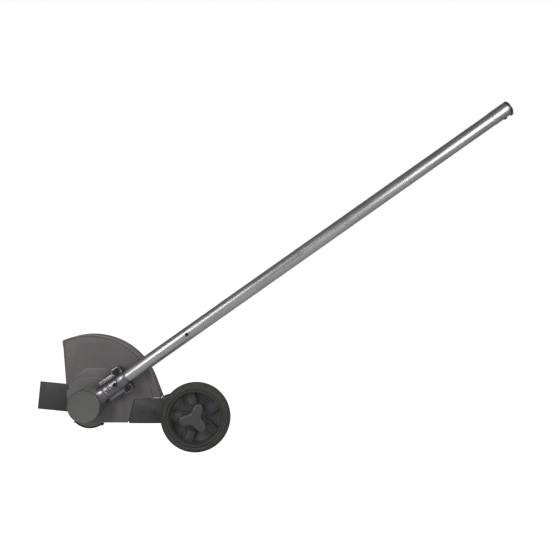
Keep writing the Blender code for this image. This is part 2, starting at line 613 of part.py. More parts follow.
def build_gearcase_fittings(head, boom, finish):
    """Cover, gasket, bearings, seal, clamp cap and the screws that hold the clamp."""
    ring("cover_gasket", DRUM_BORE + GAP, DRUM_RADIUS - 0.0003, DRUM_FRONT + GAP, COVER_BACK - GAP, head,
         finish["rubber"], steps=36)
    seat = FRONT_BEARING[1] + GAP
    spigot, wall = DRUM_BORE - GAP, seat + BEARING_SEAT_WALL
    profile = [(0.0, COVER_FRONT), (COVER_RADIUS - 0.0022, COVER_FRONT)]
    profile += [(COVER_RADIUS - 0.0006, COVER_FRONT - 0.0007), (COVER_RADIUS, COVER_FRONT - 0.0022)]
    profile += [(COVER_RADIUS, COVER_BACK), (spigot, COVER_BACK), (spigot, COVER_SPIGOT)]
    profile += [(COVER_SPIGOT_BORE, COVER_SPIGOT), (COVER_SPIGOT_BORE, COVER_FACE), (wall, COVER_FACE)]
    profile += [(wall, BEARING_SEAT_BACK), (seat, BEARING_SEAT_BACK), (seat, COVER_FACE), (0.0, COVER_FACE)]
    turned("front_cover", profile, head, finish["cast_grey"], steps=36)
    bore, radius, width = FRONT_BEARING
    ring("front_bearing", bore, radius, FRONT_BEARING_PLACE, FRONT_BEARING_PLACE + width, head,
         finish["bright_steel"], steps=24)
    bore, radius, width = INPUT_BEARING
    for name, place in INPUT_BEARING_PLACES.items():
        ring(name, bore, radius, place, place + width, boom, finish["bright_steel"])
    ring("bearing_circlip", 0.0092, radius, place + width + GAP, place + width + 0.0015, boom,
         finish["black_screw"], steps=24)
    bore, radius, width = REAR_BEARING
    ring("rear_bearing", bore, radius, DRUM_FLOOR - GAP - width, DRUM_FLOOR - GAP, head,
         finish["bright_steel"])
    ring("shaft_seal", bore, radius, BOSS_BACK + GAP, DRUM_FLOOR - 2 * GAP - width, head, finish["rubber"])

    cap = prism("clamp_cap", [cap_outline()], CLAMP_START + GAP, NECK_END, boom, finish["cast_silver"])
    for side, label in ((1, "upper"), (-1, "lower")):
        place = (side * EAR_OFFSET, 0.0, EAR_PLACE)
        profile = [(0.0, 0.020), (SCREW_SINK, 0.020), (SCREW_SINK, SCREW_SEAT), (0.0033, SCREW_SEAT)]
        profile += [(0.0033, -0.002), (0.0, -0.002)]
        cut(cap, turned("cap_hole_" + label, profile, boom, location=place, rotation=FACE_FORWARD, steps=20))
        cap_screw("clamp_screw_" + label, 0.00265, SCREW_SEAT + EAR_BACK - 0.0010, 0.0048, 0.0030, 0.0024,
                  boom, finish["black_screw"], (side * EAR_OFFSET, SCREW_SEAT + GAP, EAR_PLACE),
                  FACE_FORWARD)
    cap_screw("set_screw", 0.0026, 0.0030, 0.0036, 0.0018, 0.0019, boom, finish["black_screw"],
              (0, TUBE_RADIUS + GAP, SET_SCREW_PLACE), FACE_FORWARD)


# ---------------------------------------------------------------- blade

def build_blade(head, finish):
    """Blade between its two flanges, with its nut."""
    half = BLADE_THICKNESS / 2
    bore = REAR_BEARING[0]
    hub, seat, top = bore + FLANGE_HUB, BLADE_BORE - GAP, BOSS_BACK - GAP
    profile = [(hub, top), (hub, half + 0.0038), (FLANGE_RADIUS, half + 0.0034), (FLANGE_RADIUS, half + GAP)]
    profile += [(seat, half + GAP), (seat, -half + 0.0004), (bore, -half + 0.0004), (bore, top)]
    turned("inner_flange", profile, head, finish["bright_steel"])
    long, wide = BLADE_LENGTH / 2, BLADE_WIDTH / 2
    outline = [(-long, -wide), (long, -wide), (long, wide), (-long, wide)]
    prism("blade", [outline, circle((0, 0), BLADE_BORE, 32)], -half, half, head, finish["black_steel"],
          rotation=(0.0, 0.0, BLADE_TILT))
    rear, radius = -half - OUTER_FLANGE_DEPTH, OUTER_FLANGE_RADIUS
    profile = [(bore, -half - GAP), (radius, -half - GAP), (radius, -half - 0.0016), (0.0110, rear)]
    profile += [(bore, rear)]
    turned("outer_flange", profile, head, finish["black_steel"], steps=32)
    across, height = BLADE_NUT
    hex_nut("blade_nut", across, bore, rear - GAP - height, rear - GAP, head, finish["bright_steel"],
            (0, 0, 0))


# ---------------------------------------------------------------- guard

def guard_edge(inset=0.0):
    """Return the run of the guard's rim, drawn in by an inset: front lip, arc and straight rear edge."""
    radius = GUARD_RADIUS - inset
    corner = Vector(polar(GUARD_RADIUS, GUARD_CORNER))
    lean = (Vector(GUARD_CHEEK) - corner).normalized()
    start = corner + Vector((-lean.y, lean.x)) * inset
    dip = -start.dot(lean)
    top = start + lean * (dip - math.sqrt(max(0.0, dip * dip - start.length_squared + radius * radius)))
    lip = start + lean * LIP_LENGTH
    heel = Vector(GUARD_HEEL) - Vector(polar(1.0, GUARD_TANGENT)) * inset
    first = math.degrees(math.atan2(top.y, top.x))
    return [tuple(lip)] + arc((0, 0), radius, first, GUARD_TANGENT, 30) + [tuple(heel)]


def plate_outline():
    """Return the outline of the guard's plate."""
    seat_start, seat_end = SKIRT_ARC
    points = guard_edge(PLATE_INSET)[1:] + [GUARD_KNEE, GUARD_STEP, GUARD_TOE]
    seat = arc(GUARD_CHIN, SKIRT_SEAT_RADIUS, seat_end, seat_start, 14)
    points += [(seat[0][0], GUARD_TOE[1])] + seat
    points += arc(GUARD_CHIN, CHIN_RADIUS, seat_start - 1.0, 195.0, 4) + [GUARD_CHEEK]
    slope = (points[0][0] - GUARD_CHEEK[0]) / (points[0][1] - GUARD_CHEEK[1])
    low, high = GUARD_NOTCH
    edge = [(GUARD_CHEEK[0] + slope * (y - GUARD_CHEEK[1]), y) for y in GUARD_NOTCH]
    return points + [edge[0], (NOTCH_FLOOR, low), (NOTCH_FLOOR, high), edge[1]]


def build_guard(head, finish):
    """The blade guard, its screws and the rubber band round its chin."""
    holes = [circle((0, 0), BOSS_RADIUS + GAP, 40)]
    holes += [circle(polar(GUARD_SCREW_CIRCLE, angle), 0.0024, 12) for angle in GUARD_SCREW_ANGLES]
    guard = prism("guard", [plate_outline()] + holes, GUARD_FRONT - GUARD_WALL, GUARD_FRONT, head,
                  finish["guard_grey"])
    outer, inner = guard_edge(), guard_edge(GUARD_WALL)
    rim = prism("guard_rim", [outer + inner[::-1]], GUARD_BACK, GUARD_FRONT - 0.0005, head)
    near, low, far, high = TONGUE
    tongue = prism("guard_tongue", [[(near, low), (far, low), (far, high), (near, high)]],
                   TONGUE_BACK, TONGUE_FRONT, head)
    web = block("guard_web", (near, low, TONGUE_BACK + 0.0005), (WEB_END, high, GUARD_FRONT - 0.0005), head)
    join(guard, rim, tongue, web)
    for label, place in BRACKET_BOLTS.items():
        cut(guard, ring("tongue_hole_" + label, 0.0, BOLT_HOLE, TONGUE_BACK - 0.002, TONGUE_FRONT + 0.002,
                        head, location=(*place, 0.0), steps=16))
    for i, angle in enumerate(GUARD_SCREW_ANGLES):
        cap_screw(f"guard_screw_{i + 1}", 0.0020, 0.0125, 0.0037, 0.0032, 0.0017, head,
                  finish["black_screw"], (*polar(GUARD_SCREW_CIRCLE, angle), GUARD_FRONT - GUARD_WALL - GAP),
                  FACE_BACK)

    start, end = SKIRT_ARC
    low, high = SKIRT_SEAT_RADIUS + GAP, SKIRT_SEAT_RADIUS + 0.0020
    band = arc(GUARD_CHIN, high + BAND_LIP, start + 1.0, start + 4.0, 1)
    band += arc(GUARD_CHIN, high, start + 4.0, end - 4.0, 14)
    band += arc(GUARD_CHIN, high + BAND_LIP, end - 4.0, end - 1.0, 1)
    band += arc(GUARD_CHIN, low, end - 1.0, start + 1.0, 16)
    prism("skirt_band", [band], GUARD_FRONT - 0.0120, GUARD_FRONT + 0.0006, head, finish["rubber"])


# ---------------------------------------------------------------- wheel bracket, wheel and knob

def bracket_outline():
    """Return the outline of the bracket's plate, with its lobe round the slot."""
    x, y = WHEEL_CENTRE
    top, bottom = y + SLIDE_UP + SLOT_MARGIN, y - SLIDE_DOWN - SLOT_MARGIN
    points = [(x + 0.0150, bottom + 0.006)]
    points += arc((x + 0.0030, top - 0.0150), 0.0150, 0.0, 90.0, 6)
    points += [(x - 0.0200, top - 0.0030), (0.1445, 0.0169), (0.1327, 0.0133)]
    points += [(0.1296, 0.0092), (0.1287, 0.0086), (0.1262, 0.00765), (0.1254, BRACKET_TOP)]
    points += [(BRACKET_END, BRACKET_TOP), (BRACKET_END, BRACKET_FOOT), (x - 0.0280, BRACKET_FOOT)]
    return points + [(x - 0.0180, bottom), (x + 0.0090, bottom)]


def slot_outline():
    """Return the outline of the slot that the axle bolt slides in."""
    x, y = WHEEL_CENTRE
    half = SLOT_WIDTH / 2
    top, bottom = y + SLIDE_UP + half - GAP, y - SLIDE_DOWN - half + GAP
    return [(x - half, bottom), (x + half, bottom), (x + half, top), (x - half, top)]


def build_bracket(head, finish):
    """The slotted plate that carries the wheel, with its bolts and nuts."""
    holes = [circle(place, BOLT_HOLE, 16) for place in BRACKET_BOLTS.values()]
    prism("wheel_bracket", [bracket_outline(), slot_outline()] + holes, BRACKET_BACK, BRACKET_FRONT, head,
          finish["black_steel"])
    for label, place in BRACKET_BOLTS.items():
        cap_screw("bracket_bolt_" + label, 0.0025, 0.0150, 0.0046, 0.0022, 0.0015, head,
                  finish["black_screw"], (*place, BRACKET_FRONT + GAP))
        hex_nut("bracket_nut_" + label, 0.0080, BOLT_HOLE, TONGUE_BACK - 0.0043, TONGUE_BACK - GAP, head,
                finish["bright_steel"], (*place, 0.0))


def build_axle(axle, finish):
    """The pieces that slide together in the slot: bolt, washers and sleeve."""
    neck, seat = SLOT_WIDTH / 2 - GAP, BRACKET_BACK - GAP
    profile = [(0.0, AXLE_TOP), (AXLE_RADIUS, AXLE_TOP), (AXLE_RADIUS, seat), (0.0085, seat)]
    profile += [(0.0078, BRACKET_BACK - 0.0022), (0.0045, BRACKET_BACK - 0.0040)]
    profile += [(0.0, BRACKET_BACK - 0.0045)]
    bolt = turned("axle_bolt", profile, axle, finish["bright_steel"], steps=24)
    join(bolt, block("bolt_neck", (-neck, -neck, BRACKET_BACK - 0.0010),
                     (neck, neck, BRACKET_FRONT - 0.0004), axle))
    bore, place = AXLE_RADIUS + GAP, BRACKET_FRONT + GAP
    ring("inner_washer", bore, WASHER_RADIUS, place, place + WASHER_THICKNESS, axle, finish["bright_steel"])
    ring("axle_sleeve", bore, SLEEVE_RADIUS, place + WASHER_THICKNESS + GAP, HUB_FRONT + 0.0020, axle,
         finish["bright_steel"])
    place = HUB_FRONT + 0.0020 + GAP
    ring("outer_washer", bore, WASHER_RADIUS, place, place + WASHER_THICKNESS, axle, finish["bright_steel"])


def spoke_outline():
    """Return the outline of a spoke: two walls that run to the rim, and one across their foot."""
    far, foot, wall = RIM_INNER + 0.0010, SPOKE_FOOT + SPOKE_WALL, SPOKE_HALF - SPOKE_WALL
    outer = [(far, SPOKE_HALF), (SPOKE_FOOT, SPOKE_HALF), (SPOKE_FOOT, -SPOKE_HALF), (far, -SPOKE_HALF)]
    return outer + [(far, -wall), (foot, -wall), (foot, wall), (far, wall)]


def build_wheel(axle, finish):
    """Wheel, tyre and the two bushes that run on the sleeve."""
    back, front = WHEEL_BACK + 0.0020, WHEEL_FRONT - 0.0020
    profile = [(RIM_OUTER, front), (RIM_OUTER, back), (RIM_INNER, back), (RIM_INNER, WEB_BACK)]
    profile += [(HUB_RADIUS, WEB_BACK), (HUB_RADIUS, back), (HUB_BORE, back), (HUB_BORE, HUB_FRONT)]
    profile += [(HUB_RADIUS, HUB_FRONT), (HUB_RADIUS, WEB_FRONT), (RIM_INNER, WEB_FRONT), (RIM_INNER, front)]
    wheel = turned("wheel", profile, axle, finish["black_plastic"], steps=40)
    for i in range(SPOKE_COUNT):
        join(wheel, prism(f"wheel_spoke_{i}", [spoke_outline()], WEB_FRONT - 0.001, SPOKE_FRONT, axle,
                          rotation=(0.0, 0.0, SPOKE_PHASE + 2.0 * math.pi * i / SPOKE_COUNT)))
    middle, half = (WHEEL_FRONT + WHEEL_BACK) / 2, (WHEEL_FRONT - WHEEL_BACK) / 2
    crown = [(WHEEL_RADIUS - TYRE_CROWN * abs(t) ** 3, middle + half * t)
             for t in (0.98, 0.7, 0.0, -0.7, -0.98)]
    bore, shoulder = RIM_OUTER + GAP, WHEEL_RADIUS - TYRE_SHOULDER
    profile = [(shoulder, middle + half)] + crown + [(shoulder, middle - half)]
    profile += [(bore, middle - half), (bore, middle + half)]
    turned("tyre", profile, axle, finish["rubber"], steps=48)
    run, seat = SLEEVE_RADIUS + GAP, HUB_BORE - GAP
    flange = back - GAP
    profile = [(seat, back + 0.0100), (seat, flange), (BUSH_FLANGE, flange), (BUSH_FLANGE, flange - 0.0011)]
    turned("wheel_bush_inner", profile + [(run, flange - 0.0011), (run, back + 0.0100)], axle,
           finish["bronze"], steps=24)
    flange = HUB_FRONT + GAP
    profile = [(BUSH_FLANGE, flange + 0.0011), (BUSH_FLANGE, flange), (seat, flange)]
    profile += [(seat, HUB_FRONT - 0.0060)]
    turned("wheel_bush_outer", profile + [(run, HUB_FRONT - 0.0060), (run, flange + 0.0011)], axle,
           finish["bronze"], steps=24)


def knob_outline(steps=54):
    """Return the knob's three-lobed outline."""
    points = []
    for i in range(steps):
        angle = 2.0 * math.pi * i / steps
        swell = (0.5 + 0.5 * math.cos(3.0 * (angle - KNOB_PHASE))) ** 1.3
        radius = KNOB_WAIST + (KNOB_RADIUS - KNOB_WAIST) * swell
        points.append((radius * math.cos(angle), radius * math.sin(angle)))
    return points


def build_knob(axle, finish):
    """Three-lobed knob and the threaded insert moulded into it."""
    knob = prism("knob", [knob_outline()], KNOB_BACK, KNOB_FRONT, axle, finish["black_plastic"])
    corner, bore = INSERT_ACROSS / math.sqrt(3.0) + GAP, AXLE_RADIUS + GAP
    below = KNOB_BACK - 0.002
    cut(knob, ring("knob_pocket", 0.0, corner, below, INSERT_TOP + GAP, axle, steps=6),
        ring("knob_bore", 0.0, bore, below, KNOB_BORE_TOP, axle, steps=24))
    hex_nut("knob_insert", INSERT_ACROSS, bore, KNOB_BACK, INSERT_TOP, axle, finish["bright_steel"],
            (0, 0, 0))


def main():
    """Build every piece."""
    clear_scene()
    head, boom, axle = make_frames()
    finish = make_materials()
    build_boom(boom, finish)
    build_lock_button(boom, finish)
    build_gears(head, boom, finish)
    build_gearcase(head, boom, finish)
    build_gearcase_fittings(head, boom, finish)
    build_blade(head, finish)
    build_guard(head, finish)
    build_bracket(head, finish)
    build_axle(axle, finish)
    build_wheel(axle, finish)
    build_knob(axle, finish)
    bpy.context.view_layer.update()


main()
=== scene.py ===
"""Visual model of a lawn edger: boom, cast gearcase, guarded blade and guide wheel.

Every piece is modelled in the frame of the part it belongs to, and then settled in the shared
frame. All sizes are in metres.
"""
from __future__ import annotations

import json
import logging
import math
from dataclasses import dataclass, field
from enum import Enum
from typing import Callable, Iterable, Sequence

import bmesh
import bpy
from mathutils import Matrix, Vector

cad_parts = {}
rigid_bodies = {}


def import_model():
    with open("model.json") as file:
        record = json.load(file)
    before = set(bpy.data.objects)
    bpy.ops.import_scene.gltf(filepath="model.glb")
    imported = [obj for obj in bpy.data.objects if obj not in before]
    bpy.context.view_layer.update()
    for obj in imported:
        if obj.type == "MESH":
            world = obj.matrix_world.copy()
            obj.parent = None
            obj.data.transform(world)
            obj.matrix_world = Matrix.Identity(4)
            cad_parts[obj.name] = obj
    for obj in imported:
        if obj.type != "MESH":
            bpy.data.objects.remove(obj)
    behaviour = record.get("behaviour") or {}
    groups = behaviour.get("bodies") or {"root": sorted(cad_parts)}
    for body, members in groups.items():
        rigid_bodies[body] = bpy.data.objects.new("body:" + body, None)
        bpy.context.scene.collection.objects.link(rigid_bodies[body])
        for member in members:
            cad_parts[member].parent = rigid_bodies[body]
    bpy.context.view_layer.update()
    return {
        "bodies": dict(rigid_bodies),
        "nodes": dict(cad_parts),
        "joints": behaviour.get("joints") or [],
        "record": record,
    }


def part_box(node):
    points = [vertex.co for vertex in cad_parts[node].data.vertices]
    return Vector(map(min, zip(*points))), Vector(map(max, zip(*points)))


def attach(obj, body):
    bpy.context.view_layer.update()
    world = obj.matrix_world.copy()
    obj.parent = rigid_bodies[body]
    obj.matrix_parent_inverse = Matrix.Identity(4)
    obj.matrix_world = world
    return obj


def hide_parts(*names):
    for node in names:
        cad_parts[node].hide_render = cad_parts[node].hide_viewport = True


log = logging.getLogger("lawn_edger")

Point = tuple[float, float]
Colour = tuple[float, float, float, float]
Rule = Callable[[Vector, Vector], bool]
GAP = 0.0003                    # clearance between touching pieces
MERGE = 1e-6                    # points closer than this are one point
ALIGNED = 0.9                   # an edge whose direction has this much of an axis follows it
CORNER_STEPS = 6                # steps in the bevel of a rounded corner
DRILL = (0.010, 0.040)          # heights between which a tool drills the guard and the bracket
SET_PLACE = 0.0655              # set screw's place up the boom
SCREW_CIRCLE = 0.0254           # radius of the circle that the guard's screws stand on
SCREW_ANGLES = (125.2, 215.2, 305.2)
SCREW_SEAT = 0.0260             # height of the seats of the guard's screws
BRACKET_BOLTS = {"front": (0.0915, -0.0189), "rear": (0.1132, -0.0171)}
TONGUE_BACK = 0.0169            # back face of the guard's tongue, which holds the bracket
HUB_FRONT = 0.0517              # front end of the wheel's hub
FORWARD = Matrix.Rotation(math.radians(-90.0), 4, "X")     # turns a piece's z axis onto its frame's y axis
BACKWARD = Matrix.Rotation(math.radians(180.0), 4, "X")    # turns a piece's z axis round
DOWNWARD = Matrix.Rotation(math.radians(-90.0), 4, "Y")    # turns a piece's z axis onto its frame's -x axis


class Body(Enum):
    """Bodies that the made pieces ride on."""

    FRAME = "frame"
    BUTTON = "button"
    OUTPUT = "output"
    AXLE = "axle"
    WHEEL = "wheel_set"
    KNOB = "knob_set"


class Slot(Enum):
    """Material slots of the record, one given with each made piece."""

    TUBE = "tube_aluminium"
    CASE = "case_grey"
    CLAMP = "clamp_silver"
    GUARD = "guard_grey"
    STEEL = "black_steel"
    SCREW = "black_screw"
    PLASTIC = "black_plastic"
    TYRE = "tyre_rubber"
    RUBBER = "soft_rubber"
    BRIGHT = "bright_steel"


# ---------------------------------------------------------------- outlines

def polar(radius: float, degrees: float, centre: Point = (0.0, 0.0)) -> Point:
    """Return the point at a radius and an angle about a centre."""
    angle = math.radians(degrees)
    return centre[0] + radius * math.cos(angle), centre[1] + radius * math.sin(angle)


def sweep(centre: Point, radius: float, start: float, end: float, steps: int) -> list[Point]:
    """Return points along an arc, from one angle to another in degrees."""
    return [polar(radius, start + (end - start) * i / steps, centre) for i in range(steps + 1)]


# ---------------------------------------------------------------- modelling

class Bench:
    """Modelling steps, each made with Blender's own operators on what was picked first."""

    @staticmethod
    def hold(*pieces: bpy.types.Object) -> None:
        """Select only these pieces, and make the first one active."""
        bpy.ops.object.select_all(action="DESELECT")
        for piece in pieces:
            piece.select_set(True)
        if pieces:
            bpy.context.view_layer.objects.active = pieces[0]

    @staticmethod
    def open(piece: bpy.types.Object, mode: str = "VERT") -> None:
        """Take a piece into edit mode with all of it selected."""
        Bench.hold(piece)
        bpy.ops.object.mode_set(mode="EDIT")
        bpy.ops.mesh.select_mode(type=mode)
        bpy.ops.mesh.select_all(action="SELECT")

    @staticmethod
    def close() -> None:
        """Leave edit mode."""
        bpy.ops.object.mode_set(mode="OBJECT")

    @staticmethod
    def pick(piece: bpy.types.Object, kind: str, test: Rule) -> int:
        """Select the faces, edges or vertices that pass a test, in edit mode.

        Args:
            piece: The piece that is open in edit mode.
            kind: "FACE", "EDGE" or "VERT".
            test: Takes the middle and the normal of one of them, and says whether it is picked.

        Returns:
            How many were picked.
        """
        bpy.ops.mesh.select_mode(type=kind)
        bpy.ops.mesh.select_all(action="DESELECT")
        mesh = bmesh.from_edit_mesh(piece.data)
        count = 0
        for item in {"FACE": mesh.faces, "EDGE": mesh.edges, "VERT": mesh.verts}[kind]:
            if kind == "FACE":
                middle, normal = item.calc_center_median(), item.normal
            elif kind == "EDGE":
                middle = (item.verts[0].co + item.verts[1].co) / 2
                normal = (item.verts[1].co - item.verts[0].co).normalized()
            else:
                middle, normal = item.co, item.normal
            if test(middle, normal):
                item.select_set(True)
                count += 1
        mesh.select_flush_mode()
        bmesh.update_edit_mesh(piece.data)
        return count

    @staticmethod
    def trace(name: str, points: Sequence[Sequence[float]], joined: bool = True) -> bpy.types.Object:
        """Draw a run of edges, one point extruded from the last.

        Args:
            name: The new piece's name.
            points: The run's points, in three dimensions.
            joined: Whether the last point is joined to the first.

        Returns:
            The new piece, left in edit mode with everything selected.
        """
        Bench.hold()
        bpy.ops.mesh.primitive_plane_add(size=2 * GAP, location=points[0])
        piece = bpy.context.active_object
        piece.name = name
        bpy.ops.object.transform_apply(location=True, rotation=True, scale=True)
        Bench.open(piece)
        bpy.ops.mesh.merge(type="CENTER")
        here = Vector(points[0])
        for point in points[1:]:
            there = Vector(point)
            bpy.ops.mesh.extrude_vertices_move(TRANSFORM_OT_translate={"value": there - here})
            here = there
        if joined:
            mesh = bmesh.from_edit_mesh(piece.data)
            ends = [vertex for vertex in mesh.verts if len(vertex.link_edges) == 1]
            bpy.ops.mesh.select_all(action="DESELECT")
            for vertex in ends:
                vertex.select_set(True)
            mesh.select_flush_mode()
            bmesh.update_edit_mesh(piece.data)
            bpy.ops.mesh.edge_face_add()
        bpy.ops.mesh.select_all(action="SELECT")
        return piece

    @staticmethod
    def lathe(name: str, profile: Sequence[Point], steps: int = 72, joined: bool = True) -> bpy.types.Object:
        """Spin a profile about the z axis into a closed shape.

        Args:
            name: The new piece's name.
            profile: Points as (radius, height), starting and ending on the axis where the shape is solid.
            steps: How many steps the full turn takes.
            joined: Whether the profile is a closed ring, as on a piece with a bore.

        Returns:
            The new piece.
        """
        piece = Bench.trace(name, [(radius, 0.0, height) for radius, height in profile], joined)
        bpy.ops.mesh.spin(steps=steps, angle=math.tau, center=(0.0, 0.0, 0.0), axis=(0.0, 0.0, 1.0))
        Bench.tidy()
        return piece

    @staticmethod
    def tidy() -> None:
        """Merge doubles, drop loose edges and turn every face outwards, then leave edit mode."""
        bpy.ops.mesh.select_all(action="SELECT")
        bpy.ops.mesh.remove_doubles(threshold=MERGE)
        bpy.ops.mesh.select_all(action="SELECT")
        bpy.ops.mesh.dissolve_degenerate(threshold=MERGE)
        bpy.ops.mesh.select_all(action="SELECT")
        bpy.ops.mesh.normals_make_consistent(inside=False)
        Bench.close()

    @staticmethod
    def plate(name: str, outline: Sequence[Point], low: float, high: float,
              shrink: float = 0.0) -> bpy.types.Object:
        """Fill an outline and extrude it into a plate.

        Args:
            name: The new piece's name.
            outline: The plate's outline.
            low: Height of its lower face.
            high: Height of its upper face.
            shrink: How far the outline is drawn in first.

        Returns:
            The new piece.
        """
        piece = Bench.trace(name, [(x, y, low) for x, y in outline])
        bpy.ops.mesh.edge_face_add()
        if shrink:
            bpy.ops.mesh.select_mode(type="FACE")
            bpy.ops.mesh.select_all(action="SELECT")
            bpy.ops.mesh.inset(thickness=shrink, depth=0.0)
            bpy.ops.mesh.select_all(action="INVERT")
            bpy.ops.mesh.delete(type="FACE")
            bpy.ops.mesh.select_all(action="SELECT")
        bpy.ops.mesh.extrude_region_move(TRANSFORM_OT_translate={"value": (0.0, 0.0, high - low)})
        Bench.tidy()
        return piece

    @staticmethod
    def block(name: str, low: Sequence[float], high: Sequence[float], rounded: float = 0.0, axis: int = 2,
              softened: float = 0.0) -> bpy.types.Object:
        """Make a block between two corners, with the edges along one axis rounded.

        Args:
            name: The new piece's name.
            low: Lowest corner.
            high: Highest corner.
            rounded: Radius of the edges along the axis.
            axis: 0, 1 or 2, for x, y or z.
            softened: Width of the bevel on all the other edges.

        Returns:
            The new piece.
        """
        Bench.hold()
        middle = [(a + b) / 2 for a, b in zip(low, high)]
        bpy.ops.mesh.primitive_cube_add(size=1.0, location=middle, scale=[b - a for a, b in zip(low, high)])
        piece = bpy.context.active_object
        piece.name = name
        bpy.ops.object.transform_apply(location=True, rotation=True, scale=True)
        if rounded:
            Bench.open(piece, "EDGE")
            Bench.pick(piece, "EDGE", lambda place, along: abs(along[axis]) > ALIGNED)
            bpy.ops.mesh.bevel(offset=rounded, segments=CORNER_STEPS, affect="EDGES")
            Bench.close()
        if softened:
            Bench.soften(piece, softened)
        return piece

    @staticmethod
    def apply(piece: bpy.types.Object, kind: str, **settings: object) -> None:
        """Add one modifier with these settings, and apply it."""
        Bench.hold(piece)
        bpy.ops.object.modifier_add(type=kind)
        modifier = piece.modifiers[-1]
        for key, value in settings.items():
            setattr(modifier, key, value)
        bpy.ops.object.modifier_apply(modifier=modifier.name)

    @staticmethod
    def soften(piece: bpy.types.Object, width: float, segments: int = 2, angle: float = 35.0) -> None:
        """Round every edge that is sharper than an angle in degrees."""
        Bench.apply(piece, "BEVEL", width=width, segments=segments, limit_method="ANGLE",
                    angle_limit=math.radians(angle), use_clamp_overlap=True)

    @staticmethod
    def combine(piece: bpy.types.Object, tools: Iterable[bpy.types.Object], operation: str) -> None:
        """Combine a piece with tools, one after another, and remove the tools."""
        for tool in tools:
            Bench.apply(piece, "BOOLEAN", object=tool, operation=operation, solver="EXACT")
            mesh = tool.data
            bpy.data.objects.remove(tool)
            bpy.data.meshes.remove(mesh)

    @staticmethod
    def cut(piece: bpy.types.Object, *tools: bpy.types.Object) -> None:
        """Cut tools out of a piece."""
        Bench.combine(piece, tools, "DIFFERENCE")

    @staticmethod
    def join(piece: bpy.types.Object, *tools: bpy.types.Object) -> None:
        """Join tools to a piece as one closed shape."""
        Bench.combine(piece, tools, "UNION")

    @staticmethod
    def move(piece: bpy.types.Object, *steps: Matrix) -> bpy.types.Object:
        """Move a piece by the product of some matrices, and leave its object at the origin."""
        matrix = Matrix.Identity(4)
        for step in steps:
            matrix = matrix @ step
        piece.matrix_world = matrix @ piece.matrix_world
        Bench.hold(piece)
        bpy.ops.object.transform_apply(location=True, rotation=True, scale=True)
        return piece

    @staticmethod
    def copy(piece: bpy.types.Object, name: str, *steps: Matrix) -> bpy.types.Object:
        """Return a copy of a piece with its own mesh, moved by the product of some matrices."""
        Bench.hold(piece)
        bpy.ops.object.duplicate(linked=False)
        twin = bpy.context.active_object
        twin.name = name
        return Bench.move(twin, *steps)

    @staticmethod
    def slice(piece: bpy.types.Object, place: Sequence[float], normal: Sequence[float]) -> None:
        """Cut away what lies beyond a plane, and fill the cut."""
        Bench.open(piece)
        bpy.ops.mesh.bisect(plane_co=place, plane_no=normal, use_fill=True, clear_outer=True)
        Bench.tidy()

    @staticmethod
    def rod(name: str, radius: float, low: float, high: float, steps: int = 32) -> bpy.types.Object:
        """Return a plain round tool along z, for cutting holes."""
        Bench.hold()
        bpy.ops.mesh.primitive_cylinder_add(vertices=steps, radius=radius, depth=high - low,
                                            location=(0.0, 0.0, (low + high) / 2))
        piece = bpy.context.active_object
        piece.name = name
        bpy.ops.object.transform_apply(location=True, rotation=True, scale=True)
        return piece


def at(x: float = 0.0, y: float = 0.0, z: float = 0.0) -> Matrix:
    """Return the matrix of a move."""
    return Matrix.Translation((x, y, z))


def turn(degrees: float, axis: str = "Z") -> Matrix:
    """Return the matrix of a turn about one axis."""
    return Matrix.Rotation(math.radians(degrees), 4, axis)


# ---------------------------------------------------------------- frames

@dataclass(frozen=True)
class Frames:
    """Where the head, the boom and the wheel's axle lie in the shared frame."""

    head: Matrix        # x to the rear, y up, z out of the blade's plane towards the boom
    boom: Matrix        # z up the boom from the crossing of the gear axes, y out of the blade's plane
    axle: Matrix        # as the head's, on the wheel's axle
    rise: float         # the boom's angle above level

    @classmethod
    def read(cls) -> "Frames":
        """Return the frames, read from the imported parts' boxes."""
        middle = {name: (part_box(name)[0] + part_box(name)[1]) / 2 for name in ("front_cover", "tyre", "blade")}
        head, tyre, plane = middle["front_cover"], middle["tyre"], middle["blade"].y
        rise = math.atan2(-head.z, -head.x)
        upright = Matrix.Rotation(math.radians(90.0), 4, "X")
        sine, cosine = math.sin(rise), math.cos(rise)
        boom = Matrix(((-sine, 0.0, cosine, head.x), (0.0, -1.0, 0.0, 0.0), (cosine, 0.0, sine, head.z),
                       (0, 0, 0, 1)))
        return cls(head=at(head.x, plane, head.z) @ upright, boom=boom,
                   axle=at(tyre.x, plane, tyre.z) @ upright, rise=rise)


# ---------------------------------------------------------------- finishes

